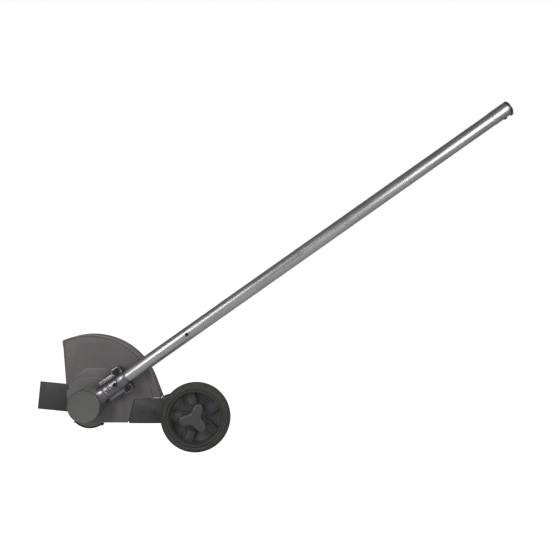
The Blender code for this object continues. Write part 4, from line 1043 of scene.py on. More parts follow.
@dataclass
class Gearcase(Assembly):
    """The casting with its cover, the clamp that holds the boom, and what is inside."""

    drum: float = 0.0284
    bore: float = 0.0225
    back: float = 0.0288                # heights are measured from the blade's plane
    front: float = 0.0609
    floor: float = 0.0313
    boss: float = 0.0170
    boss_back: float = 0.0190
    rear_bore: float = 0.0133
    cover: float = 0.0288
    cover_back: float = 0.0620
    cover_front: float = 0.0660
    neck: float = 0.0148
    neck_end: float = 0.0872
    neck_bore: float = 0.0123
    bearing_bore: float = 0.0113
    clamp_start: float = 0.0699
    ear_place: float = 0.0785
    ear_offset: float = 0.0174
    ear_length: float = 0.0168
    ear_width: float = 0.0145
    ear_front: float = 0.0070
    ear_back: float = 0.0100
    ear_corner: float = 0.0038
    ear_rim: float = 0.0013             # lip left round the sunk face of an ear
    ear_hole: float = 0.0030
    screw_seat: float = 0.0040
    screw_sink: float = 0.0054
    slot_angle: float = 108.0           # lock slot in the drum's flank, in degrees
    slot_width: float = 0.0055
    slot_sink: float = 0.003
    slot_reach: float = 0.006
    slot_run: Point = (0.0340, 0.0580)
    case_hole: float = 0.0023
    case_hole_end: float = 0.0395
    ring_places: Point = (0.0415, 0.0520)       # two raised rings round the neck
    fin_span: Point = (0.0125, 0.0190)          # fins along the sides of the neck
    fin_run: Point = (0.0405, 0.0705)
    fin_heights: Point = (-0.0050, 0.0030)
    fin_thickness: float = 0.0022

    def build(self) -> None:
        """Build and settle every piece of the gearcase."""
        self._casting()
        self._cover()
        self._cap()
        self._screws()
        self.carry("soft_rubber", "cover_gasket", "shaft_seal")
        self.carry("bright_steel", "pinion", "driven_gear", "front_bearing", "rear_bearing",
                   "input_bearing_lower", "input_bearing_upper")
        self.carry("black_screw_steel", "gear_circlip", "bearing_circlip")

    def _ear(self, name: str, side: int, low: float, high: float) -> bpy.types.Object:
        """Return one rounded clamp ear between two heights, in the boom's frame."""
        middle = side * self.ear_offset
        return Bench.block(name, (middle - self.ear_width / 2, low, self.ear_place - self.ear_length / 2),
                           (middle + self.ear_width / 2, high, self.ear_place + self.ear_length / 2),
                           rounded=self.ear_corner, axis=1, softened=0.0005)

    def _casting(self) -> None:
        """Make the drum and its boss, join the neck, ears and fins, and cut the cavities."""
        head, boom = self.frames.head, self.frames.boom
        lip = 0.0006
        profile = [(0.0, self.front), (self.drum, self.front), (self.drum, self.front - 0.0035),
                   (self.drum - lip, self.front - 0.0045), (self.drum - lip, self.back + 0.0025),
                   (self.drum - 0.0022, self.back), (self.boss + 0.0015, self.back),
                   (self.boss, self.back - 0.0015), (self.boss, self.boss_back), (0.0, self.boss_back)]
        case = Bench.lathe("gearcase", profile, steps=96, joined=False)
        Bench.soften(case, 0.0006, angle=30.0)
        Bench.move(case, head)
        rings = []
        for place in self.ring_places:
            rings += [(self.neck, place), (self.neck + 0.0007, place + 0.0008),
                      (self.neck + 0.0007, place + 0.0026), (self.neck, place + 0.0034)]
        flare = [(0.0159, 0.0120), (0.0159, 0.0285), (0.0155, 0.0305), (0.0151, 0.0335), (self.neck, 0.0370)]
        profile = [(0.0, 0.0100)] + flare + rings + [(self.neck, self.neck_end), (0.0, self.neck_end)]
        neck = Bench.lathe("neck", profile, steps=96, joined=False)
        Bench.soften(neck, 0.0004, angle=30.0)
        parts = [Bench.move(neck, boom)]
        for side, label in ((1, "upper"), (-1, "lower")):
            parts.append(Bench.move(self._ear("ear_" + label, side, -self.ear_back, 0.0010), boom))
            start, end = self.fin_run
            for i, height in enumerate(self.fin_heights):
                low, high = sorted(side * x for x in self.fin_span)
                fin = Bench.block(f"fin_{label}_{i}", (low, height, start),
                                  (high, height + self.fin_thickness, end), rounded=0.0020, axis=1,
                                  softened=0.0004)
                parts.append(Bench.move(fin, boom))
        Bench.join(case, *parts)

        rear, mouth, back = self.rear_bore, self.front + 0.005, self.boss_back - 0.001
        profile = [(0.0, mouth), (self.bore, mouth), (self.bore, self.floor), (rear, self.floor),
                   (rear, back), (0.0, back)]
        cavity = Bench.lathe("cavity", profile, steps=88, joined=False)
        wide, narrow, top = self.neck_bore, self.bearing_bore, self.neck_end + 0.01
        seat, bearing_end, foot = 0.0577, 0.0222, 0.0080
        profile = [(0.0, top), (wide, top), (wide, seat), (narrow, seat), (narrow, bearing_end),
                   (wide, bearing_end), (wide, foot), (0.0, foot)]
        tunnel = Bench.lathe("tunnel", profile, steps=80, joined=False)
        clear, kerf = 0.030, 0.0005
        split = Bench.block("split", (-clear, -kerf, self.clamp_start), (clear, clear, self.neck_end + 0.010))
        profile = [(0.0, 0.020), (0.0046, 0.020), (0.0046, 0.0148), (0.0040, 0.0141), (0.0040, 0.006),
                   (0.0, 0.006)]
        set_hole = Bench.lathe("set_hole", profile, steps=40, joined=False)
        tools = [Bench.move(cavity, head), Bench.move(tunnel, boom), Bench.move(split, boom),
                 Bench.move(set_hole, boom @ at(z=SET_PLACE) @ FORWARD)]
        for side, label in ((1, "upper"), (-1, "lower")):
            hole = Bench.rod("ear_hole_" + label, self.ear_hole, -0.012, 0.002, steps=32)
            tools.append(Bench.move(hole, boom @ at(x=side * self.ear_offset, z=self.ear_place) @ FORWARD))
        for i, angle in enumerate(SCREW_ANGLES):
            hole = Bench.rod(f"case_hole_{i}", self.case_hole, self.back - 0.001, self.case_hole_end,
                             steps=24)
            tools.append(Bench.move(hole, head @ at(*polar(SCREW_CIRCLE, angle))))
        reach, half, (start, end) = self.slot_reach, self.slot_width / 2, self.slot_run
        slot = Bench.block("lock_slot", (-reach, -half, start), (reach, half, end), rounded=0.0012, axis=0)
        tools.append(Bench.move(slot, self._slot_frame()))
        Bench.cut(case, *tools)
        self.settle(case, Matrix.Identity(4), Body.FRAME, "case_paint", Slot.CASE, "gearcase")
        self._silver(case)

    def _slot_frame(self) -> Matrix:
        """Return the lock slot's frame: x out of the drum, z along it."""
        place = at(*polar(self.drum - self.slot_sink, self.slot_angle))
        return self.frames.head @ place @ turn(self.slot_angle)

    def _silver(self, case: bpy.types.Object) -> None:
        """Leave the neck and the clamp as bare casting beyond the painted drum, and paint shade into the lock
        slot.
        """
        inward, start = self.frames.boom.inverted(), 0.0320
        self.repaint(case, "cast_metal", lambda middle, normal: (inward @ middle).z > start)
        slot, slack = self._slot_frame().inverted(), 0.0001

        def in_slot(middle: Vector, normal: Vector) -> bool:
            """Tell the faces inside the lock slot, which take painted shade."""
            place = slot @ middle
            return (-self.slot_reach - slack < place.x < self.slot_sink - GAP
                    and abs(place.y) < self.slot_width / 2 + slack
                    and self.slot_run[0] - slack < place.z < self.slot_run[1] + slack)

        # painted shade: the inside of the lock slot is painted near-black
        self.repaint(case, "painted_shade_cast", in_slot)

    def _cover(self) -> None:
        """Turn the front cover, with its raised rim and the bearing's seat behind."""
        rim, seat, skirt = self.cover, 0.0068, self.bore - GAP
        profile = [(0.0, self.cover_front - 0.0004), (rim - 0.0040, self.cover_front - 0.0004),
                   (rim - 0.0032, self.cover_front), (rim - 0.0012, self.cover_front),
                   (rim, self.cover_front - 0.0014), (rim, self.cover_back), (skirt, self.cover_back),
                   (skirt, 0.0575), (0.0195, 0.0575), (0.0195, 0.0605), (seat + 0.0030, 0.0605),
                   (seat + 0.0030, 0.0550), (seat, 0.0550), (seat, 0.0605), (0.0, 0.0605)]
        cover = Bench.lathe("front_cover", profile, steps=120, joined=False)
        Bench.soften(cover, 0.0003, angle=25.0)
        self.settle(cover, self.frames.head, Body.FRAME, "case_paint", Slot.CASE, "front_cover")
        inward, ahead = self.frames.head.inverted(), self.frames.head.to_3x3() @ Vector((0.0, 0.0, 1.0))
        edge = self.cover_front - 0.0020
        self.repaint(cover, "cast_metal", lambda middle, normal: 0.10 < normal.dot(ahead) < 0.97
                     and (inward @ middle).z > edge and (inward @ middle).xy.length > rim - 0.0021)

    def _cap(self) -> None:
        """Make the clamp cap, a half ring with an ear at each side."""
        boom, reach = self.frames.boom, self.ear_offset + self.ear_width / 2
        foot = math.degrees(math.asin(self.ear_front / self.neck))
        outline = [(reach, GAP), (reach, self.ear_front)]
        outline += sweep((0.0, 0.0), self.neck, foot, 180.0 - foot, 48)
        outline += [(-reach, self.ear_front), (-reach, GAP)]
        outline += sweep((0.0, 0.0), self.neck_bore, 178.0, 2.0, 60)
        cap = Bench.plate("clamp_cap", outline, self.clamp_start + GAP, self.neck_end)
        Bench.open(cap, "EDGE")
        Bench.pick(cap, "EDGE", lambda middle, along: abs(along.y) > ALIGNED
                   and abs(middle.x) > reach - 0.0001)
        bpy.ops.mesh.bevel(offset=self.ear_corner, segments=CORNER_STEPS, affect="EDGES")
        Bench.close()
        Bench.soften(cap, 0.0004, angle=40.0)
        tools = []
        for side in (1, -1):
            sink, seat = self.screw_sink, self.screw_seat
            hole = Bench.lathe("cap_hole", [(0.0, 0.020), (sink, 0.020), (sink, seat), (0.0033, seat),
                                            (0.0033, -0.002), (0.0, -0.002)], steps=48, joined=False)
            tools.append(Bench.move(hole, at(x=side * self.ear_offset, z=self.ear_place) @ FORWARD))
            near, far = sorted((side * (self.neck_bore + 0.0012),
                                side * (self.ear_offset + self.ear_width / 2 - self.ear_rim)))
            half = self.ear_length / 2 - self.ear_rim
            tools.append(Bench.block("ear_face", (near, self.ear_front - 0.0008, self.ear_place - half),
                                     (far, self.ear_front + 0.002, self.ear_place + half), rounded=0.0026,
                                     axis=1))
        Bench.cut(cap, *tools)
        self.settle(cap, boom, Body.FRAME, "cast_metal", Slot.CLAMP, "clamp_cap")
        inward = boom.inverted()

        def sunk(middle: Vector, normal: Vector) -> bool:
            """Tell the faces in the hollow of an ear, which take painted shade."""
            place, slack = inward @ middle, 0.0001
            across, along = abs(abs(place.x) - self.ear_offset), abs(place.z - self.ear_place)
            return (self.screw_seat - 0.0005 < place.y < self.ear_front - 0.0002
                    and abs(place.x) > self.neck_bore
                    and across < self.ear_width / 2 - self.ear_rim + slack
                    and along < self.ear_length / 2 - self.ear_rim + slack)

        # painted shade: the sunk faces of the ears are painted near-black
        self.repaint(cap, "painted_shade_cast", sunk)

    def _screws(self) -> None:
        """Make the clamp screws, the set screw and the screws that hold the guard."""
        boom, head = self.frames.boom, self.frames.head
        seat = self.screw_seat + GAP
        clamp = CapScrew(shank=0.00265, length=self.screw_seat + self.ear_back - 0.001, head=0.0048,
                         height=0.0030, socket=0.0024, knurls=24)
        first = clamp.make("clamp_screw_upper")
        second = Bench.copy(first, "clamp_screw_lower")
        for screw, side, label in ((first, 1, "upper"), (second, -1, "lower")):
            place = boom @ at(x=side * self.ear_offset, y=seat, z=self.ear_place) @ FORWARD
            self.settle(screw, place, Body.FRAME, "black_screw_steel", Slot.SCREW, "clamp_screw_" + label)
        grub = CapScrew(shank=0.0026, length=0.0030, head=0.0036, height=0.0018,
                        socket=0.0019).make("set_screw")
        self.settle(grub, boom @ at(y=self.neck_bore, z=SET_PLACE) @ FORWARD, Body.FRAME, "black_screw_steel",
                    Slot.SCREW, "set_screw")
        model = CapScrew(shank=0.0020, length=0.0125, head=0.0037, height=0.0032, socket=0.0017,
                         knurls=18).make("guard_screw_1")
        for i, angle in reversed(list(enumerate(SCREW_ANGLES, 1))):
            name = f"guard_screw_{i}"
            screw = model if i == 1 else Bench.copy(model, name)
            place = head @ at(*polar(SCREW_CIRCLE, angle), SCREW_SEAT - GAP) @ BACKWARD
            self.settle(screw, place, Body.FRAME, "black_screw_steel", Slot.SCREW, name)


# ---------------------------------------------------------------- blade

@dataclass
class Blade(Assembly):
    """The blade between its flanges, with the shaft that drives it and its nut."""

    length: float = 0.2032
    width: float = 0.0508
    thickness: float = 0.0028
    tilt: float = -5.6
    bore: float = 0.0130
    flange: float = 0.0300
    outer_flange: float = 0.0240
    shaft: float = 0.0053
    shaft_thin: float = 0.0030
    shaft_front: float = 0.0600
    shaft_back: float = -0.0140
    shaft_seat: float = 0.0187
    nut_across: float = 0.0170
    nut_height: float = 0.0080
    thread_pitch: float = 0.0011

    def build(self) -> None:
        """Build and settle the blade, its flanges, its nut and its shaft."""
        head, half = self.frames.head, self.thickness / 2
        long, wide = self.length / 2, self.width / 2
        outline = [(-long, -wide), (long, -wide), (long, wide), (-long, wide)]
        blade = Bench.plate("blade", outline, -half, half)
        Bench.soften(blade, 0.0006)
        eased = self.bore + 0.0004
        profile = [(0.0, 0.01), (eased, 0.01), (eased, half), (self.bore, half - 0.0004),
                   (self.bore, -half + 0.0004), (eased, -half), (eased, -0.01), (0.0, -0.01)]
        hole = Bench.lathe("blade_hole", profile, steps=72, joined=False)
        Bench.cut(blade, hole)
        self.settle(blade, head @ turn(self.tilt), Body.OUTPUT, "blade_steel", Slot.STEEL, "blade")
        sleeve = self.shaft + 0.0052
        profile = [(sleeve, self.shaft_seat), (sleeve, half + 0.0038), (self.flange, half + 0.0034),
                   (self.flange, half + GAP), (self.bore - GAP, half + GAP),
                   (self.bore - GAP, -half + 0.0004), (self.shaft, -half + 0.0004),
                   (self.shaft, self.shaft_seat)]
        inner = Bench.lathe("inner_flange", profile, steps=96)
        Bench.soften(inner, 0.0004)
        self.settle(inner, head, Body.OUTPUT, "bright_steel", Slot.BRIGHT, "inner_flange")
        profile = [(self.shaft, -half - GAP), (self.outer_flange, -half - GAP),
                   (self.outer_flange, -half - 0.0016), (0.0165, -half - 0.0026), (0.0110, -half - 0.0034),
                   (self.shaft, -half - 0.0034)]
        outer = Bench.lathe("outer_flange", profile, steps=96)
        Bench.soften(outer, 0.0004, angle=25.0)
        self.settle(outer, head, Body.OUTPUT, "blade_steel", Slot.STEEL, "outer_flange")
        nut = HexNut(across=self.nut_across, bore=self.shaft, height=self.nut_height).make("blade_nut")
        self.settle(nut, head @ at(z=-half - 0.0034 - GAP - self.nut_height), Body.OUTPUT, "bright_steel",
                    Slot.BRIGHT, "blade_nut")
        self._shaft()

    def _shaft(self) -> None:
        """Turn the output shaft, with thread grooves at its lower end."""
        radius = self.shaft - GAP
        profile = [(0.0, self.shaft_front), (self.shaft_thin, self.shaft_front), (self.shaft_thin, 0.0540),
                   (radius, 0.0530), (radius, -0.0040)]
        z = -0.0046
        while z - self.thread_pitch > self.shaft_back + 0.0006:
            profile += [(radius, z), (radius * 0.88, z - self.thread_pitch / 2)]
            z -= self.thread_pitch
        profile += [(radius, z), (radius * 0.85, self.shaft_back), (0.0, self.shaft_back)]
        shaft = Bench.lathe("output_shaft", profile, steps=64, joined=False)
        self.settle(shaft, self.frames.head, Body.OUTPUT, "bright_steel", Slot.BRIGHT, "output_shaft")


# ---------------------------------------------------------------- guard

@dataclass
class Guard(Assembly):
    """The moulded blade guard with its raised pad, and the rubber band round its chin."""

    radius: float = 0.1232
    wall: float = 0.0025
    rim_front: float = 0.0268           # edge bead
    rim_back: float = -0.0030
    band_front: float = 0.0256          # sunk band along the rim
    plate_back: float = 0.0234
    pocket: tuple[float, float, float, float] = (0.0685, -0.0390, 0.1262, 0.0093)   # hollow for the bracket
    panel_front: float = 0.0275
    hump_front: float = 0.0280
    pad_front: float = 0.0285
    band_width: float = 0.0047          # round the arc
    rear_band_width: float = 0.0122     # beside the straight rear edge
    band_turn: float = 34.0             # where the band widens, under the boom, in degrees
    corner: float = 113.85
    tangent: float = 21.0
    heel: Point = (0.1285, 0.0089)
    step: Point = (0.0800, 0.0067)
    toe: Point = (0.0693, -0.0357)
    chin: Point = (0.0005, -0.0074)
    chin_radius: float = 0.0379
    seat_radius: float = 0.0360
    cheek: Point = (-0.0394, -0.0140)
    notch: Point = (0.0232, 0.0333)
    notch_floor: float = -0.0375
    skirt: Point = (221.0, 307.0)
    lip: float = 0.0110
    sill: Point = (0.1090, 0.0088)      # lower rear edge, above the bracket
    tongue_front: float = 0.0219
    hump: tuple[Point, ...] = ((-0.0240, 0.0490), (-0.0055, 0.0627), (0.0290, 0.0634), (0.0345, 0.0530),
                               (0.0400, 0.0300), (-0.0200, 0.0300))
    pad_centre: Point = (0.0030, -0.0120)
    pad_radius: float = 0.0590
    boss_hole: float = 0.0173
    screw_hole: float = 0.0024
    screw_recess: float = 0.0042
    bolt_hole: float = 0.0028
    rib_angles: tuple[float, ...] = (46.0, 70.0, 94.0)
    peg: Point = (0.0190, 0.0341)

    def edge(self, inset: float = 0.0, steps: int = 72) -> list[Point]:
        """Return the run of the rim, drawn in by an inset: front lip, arc and straight rear edge."""
        radius = self.radius - inset
        corner = Vector(polar(self.radius, self.corner))
        lean = (Vector(self.cheek) - corner).normalized()
        start = corner + Vector((-lean.y, lean.x)) * inset
        dip = -start.dot(lean)
        top = start + lean * (dip - math.sqrt(max(0.0, dip * dip - start.length_squared + radius * radius)))
        lip = start + lean * self.lip
        heel = Vector(self.heel) - Vector(polar(1.0, self.tangent)) * inset
        first = math.degrees(math.atan2(top.y, top.x))
        return [tuple(lip)] + sweep((0.0, 0.0), radius, first, self.tangent, steps) + [tuple(heel)]

    def run(self) -> list[Point]:
        """Return the inner border of the sunk band: the arc, a jog under the boom, and the rear edge."""
        arc, rear = self.edge(self.band_width)[1:-1], self.edge(self.rear_band_width)[1:]
        high = [point for point in arc if math.degrees(math.atan2(point[1], point[0])) > self.band_turn + 2.0]
        low = [point for point in rear if math.degrees(math.atan2(point[1], point[0])) < self.band_turn - 2.0]
        return high + low

    def outline(self, inset: float) -> list[Point]:
        """Return the plate's outline for a small inset, or the panel's for the band's own width."""
        start, end = self.skirt
        border = self.run() if inset == self.band_width else self.edge(inset)[1:]
        points = border + [self.sill, self.step, self.toe]
        seat = sweep(self.chin, self.seat_radius, end, start, 36)
        points += [(seat[0][0], self.toe[1])] + seat
        points += sweep(self.chin, self.chin_radius, start - 1.0, 195.0, 8) + [self.cheek]
        slope = (points[0][0] - self.cheek[0]) / (points[0][1] - self.cheek[1])
        low, high = self.notch
        edge = [(self.cheek[0] + slope * (y - self.cheek[1]), y) for y in self.notch]
        return points + [edge[0], (self.notch_floor, low), (self.notch_floor, high), edge[1]]

    def build(self) -> None:
        """Build and settle the guard and its band."""
        self._guard()
        self._band()

    def _guard(self) -> None:
        """Stack the plate, panel, hump and pad, join the rim, ribs and tongue, and cut the holes."""
        guard = Bench.plate("guard", self.outline(0.0006), self.plate_back, self.band_front)
        Bench.soften(guard, 0.0005)
        panel = Bench.plate("panel", self.outline(self.band_width), self.band_front - 0.0011,
                            self.panel_front, shrink=0.0004)
        Bench.soften(panel, 0.0012, segments=3)
        hump = Bench.plate("hump", self.hump, self.panel_front - 0.0011, self.hump_front)
        Bench.soften(hump, 0.0004)
        pad = Bench.rod("pad", self.pad_radius, self.panel_front - 0.0017, self.pad_front, steps=144)
        Bench.move(pad, at(*self.pad_centre))
        limit = Bench.plate("pad_limit", self.outline(self.band_width), self.panel_front - 0.003,
                            self.pad_front + 0.003, shrink=0.0009)
        Bench.combine(pad, [limit], "INTERSECT")
        Bench.soften(pad, 0.0005, segments=3)
        outer, inner = self.edge(), self.edge(self.wall)
        rim = Bench.plate("rim", outer + inner[::-1], self.rim_back, self.rim_front)
        Bench.soften(rim, 0.0009, segments=3)
        tongue = Bench.block("tongue", (0.0450, -0.0345, TONGUE_BACK), (0.1250, 0.0020, self.tongue_front),
                             rounded=0.0030, softened=0.0006)
        web = Bench.block("web", (0.0452, -0.0343, TONGUE_BACK + 0.0005), (0.0670, 0.0018, self.band_front),
                          rounded=0.0020)
        ribs = []
        for i, angle in enumerate(self.rib_angles):
            rib = Bench.block(f"rib_{i}", (0.0440, -0.0010, 0.0170), (0.1215, 0.0010, 0.0240), rounded=0.0008,
                              axis=0)
            ribs.append(Bench.move(rib, turn(angle)))
        dip, crown, shoulder = self.pad_front - 0.0002, self.pad_front + 0.0007, self.pad_front + 0.0002
        profile = [(0.0, dip), (0.0016, dip), (0.0022, crown), (0.0036, crown), (0.0041, shoulder),
                   (0.0041, 0.0250), (0.0, 0.0250)]
        peg = Bench.lathe("peg", profile, steps=48, joined=False)
        Bench.join(guard, rim, panel, hump, pad, Bench.move(peg, at(*self.peg)), tongue, web, *ribs)
        tools = [Bench.rod("boss_hole", self.boss_hole, *DRILL, steps=96)]
        for i, angle in enumerate(SCREW_ANGLES):
            place = at(*polar(SCREW_CIRCLE, angle))
            tools.append(Bench.move(Bench.rod(f"hole_{i}", self.screw_hole, *DRILL, steps=24), place))
            tools.append(Bench.move(Bench.rod(f"recess_{i}", self.screw_recess, DRILL[0], SCREW_SEAT,
                                              steps=40), place))
        for i, place in enumerate(BRACKET_BOLTS.values()):
            hole = Bench.rod(f"tongue_hole_{i}", self.bolt_hole, DRILL[0], 0.0232, steps=24)
            tools.append(Bench.move(hole, at(*place)))
        near, low, far, high = self.pocket
        tools.append(Bench.block("bracket_pocket", (near, low, self.tongue_front), (far, high, SCREW_SEAT)))
        tools += self._grooves()
        Bench.cut(guard, *tools)
        self.settle(guard, self.frames.head, Body.FRAME, "guard_plastic", Slot.GUARD, "guard")
        inward = self.frames.head.inverted()

        def lit_bevel(middle: Vector, normal: Vector) -> bool:
            """Tell a bevel that faces forward and outward, on the rim, the panel or the pad, which takes a
            painted highlight.
            """
            front = normal.dot(self.frames.head.to_3x3() @ Vector((0.0, 0.0, 1.0)))
            return 0.25 < front < 0.97 and (inward @ middle).z > self.band_front - 0.0006

        # painted highlight: the forward-facing bevels get a lighter grey
        self.repaint(guard, "guard_painted_highlight", lit_bevel)

    def _grooves(self) -> list[bpy.types.Object]:
        """Return the tools for the moulded line across the panel and the two channels by the rear foot."""
        depth, front = 0.0005, self.panel_front
        line = Bench.block("line", (-0.0190, 0.1054, front - depth), (0.0270, 0.1062, front + 0.001),
                           rounded=0.0003)
        tools = [line]
        for i, x in enumerate((0.0420, 0.0480)):
            tools.append(Bench.block(f"channel_{i}", (x, -0.0290, self.pad_front - 0.0004),
                                     (x + 0.0026, 0.0040, self.pad_front + 0.001), rounded=0.0012))
        return tools

    def _band(self) -> None:
        """Make the rubber band round the chin, with a tab at each end."""
        start, end = self.skirt
        low, high = self.seat_radius + GAP, self.seat_radius + 0.0020
        outline = sweep(self.chin, high + 0.0022, start + 1.0, start + 4.0, 2)
        outline += sweep(self.chin, high, start + 4.0, end - 4.0, 40)
        outline += sweep(self.chin, high + 0.0022, end - 4.0, end - 1.0, 2)
        outline += sweep(self.chin, low, end - 1.0, start + 1.0, 42)
        band = Bench.plate("skirt_band", outline, 0.0165, 0.0291)
        Bench.soften(band, 0.0004)
        self.settle(band, self.frames.head, Body.FRAME, "soft_rubber", Slot.RUBBER, "skirt_band")


# ---------------------------------------------------------------- wheel bracket and wheel

@dataclass
class WheelBracket(Assembly):
    """The slotted plate that carries the wheel, its bolts, and what slides in its slot."""

    front: float = 0.0257
    back: float = 0.0222
    centre: Point = (0.1940, -0.0205)
    slide_up: float = 0.0300
    slide_down: float = 0.0080
    slot_width: float = 0.0086
    bolt_hole: float = 0.0028
    nut_height: float = 0.0040
    axle: float = 0.0040
    axle_front: float = 0.0660
    axle_pitch: float = 0.00115
    thread_end: float = 0.0540          # where the axle's thread ends, behind the knob
    sleeve: float = 0.0070
    washer: float = 0.0110

    def outline(self) -> list[Point]:
        """Return the plate's outline, with its lobe round the slot."""
        x, y = self.centre
        top, bottom = y + self.slide_up + 0.0145, y - self.slide_down - 0.0145
        points = [(x + 0.0150, bottom + 0.006)]
        points += sweep((x + 0.0030, top - 0.0150), 0.0150, 0.0, 90.0, 16)
        points += [(x - 0.0200, top - 0.0030), (0.1445, 0.0169), (0.1327, 0.0133), (0.1296, 0.0092),
                   (0.1287, 0.0086), (0.1262, 0.00765), (0.1254, 0.0084), (0.0705, 0.0084), (0.0705, -0.0370),
                   (x - 0.0280, -0.0370), (x - 0.0180, bottom), (x + 0.0090, bottom)]
        return points

    def build(self) -> None:
        """Build and settle the bracket, its bolts and nuts, and the axle's pieces."""
        head = self.frames.head
        bracket = Bench.plate("wheel_bracket", self.outline(), self.back, self.front)
        Bench.soften(bracket, 0.0005)
        x, y = self.centre
        half = self.slot_width / 2
        slot = Bench.block("slot", (x - half, y - self.slide_down - half, 0.010),
                           (x + half, y + self.slide_up + half, 0.040))
        holes = [Bench.move(Bench.rod("bolt_hole_" + label, self.bolt_hole, *DRILL, steps=32), at(*place))
                 for label, place in BRACKET_BOLTS.items()]
        Bench.cut(bracket, slot, *holes)
        self.settle(bracket, head, Body.FRAME, "blade_steel", Slot.STEEL, "wheel_bracket")
        bolt = CapScrew(shank=0.0025, length=0.0150, head=0.0046, height=0.0014,
                        socket=0.0015).make("bracket_bolt_front")
        nut = HexNut(across=0.0080, bore=self.bolt_hole, height=self.nut_height).make("bracket_nut_front")
        bolts = {"front": (bolt, nut), "rear": (Bench.copy(bolt, "bracket_bolt_rear"),
                                                Bench.copy(nut, "bracket_nut_rear"))}
        for label, (screw, hexagon) in bolts.items():
            x, y = BRACKET_BOLTS[label]
            self.settle(screw, head @ at(x, y, self.front + GAP), Body.FRAME, "blade_steel", Slot.SCREW,
                        "bracket_bolt_" + label)
            self.settle(hexagon, head @ at(x, y, TONGUE_BACK - GAP - self.nut_height), Body.FRAME,
                        "bright_steel", Slot.BRIGHT, "bracket_nut_" + label)
        self._axle()

    def _axle(self) -> None:
        """Turn the carriage bolt with its square neck, the sleeve and the washers."""
        frame, neck = self.frames.axle, self.slot_width / 2 - GAP
        back = self.back
        profile = [(0.0, self.axle_front), (self.axle * 0.85, self.axle_front),
                   (self.axle, self.axle_front - 0.0006)]
        z, root = self.axle_front - 0.0012, self.axle * 0.88
        while z > self.thread_end:
            profile += [(self.axle, z), (root, z - self.axle_pitch / 2)]
            z -= self.axle_pitch
        profile += [(self.axle, z), (self.axle, back - GAP), (0.0085, back - GAP), (0.0083, back - 0.0012),
                    (0.0074, back - 0.0026), (0.0056, back - 0.0037), (0.0032, back - 0.0043),
                    (0.0, back - 0.0045)]
        bolt = Bench.lathe("axle_bolt", profile, steps=64, joined=False)
        square = Bench.block("bolt_neck", (-neck, -neck, back - 0.0010), (neck, neck, self.front - 0.0004),
                             rounded=0.0005)
        Bench.join(bolt, square)
        self.settle(bolt, frame, Body.AXLE, "bright_steel", Slot.BRIGHT, "axle_bolt")
        bore = self.axle + GAP
        for name, outer, low, high in (("inner_washer", self.washer, self.front + GAP, self.front + 0.0018),
                                       ("axle_sleeve", self.sleeve, self.front + 0.0021, HUB_FRONT + 0.0020),
                                       ("outer_washer", self.washer, HUB_FRONT + 0.0023, HUB_FRONT + 0.0038)):
            ring = Bench.lathe(name, [(bore, low), (outer, low), (outer, high), (bore, high)], steps=64)
            Bench.soften(ring, 0.0002)
            self.settle(ring, frame, Body.AXLE, "bright_steel", Slot.BRIGHT, name)


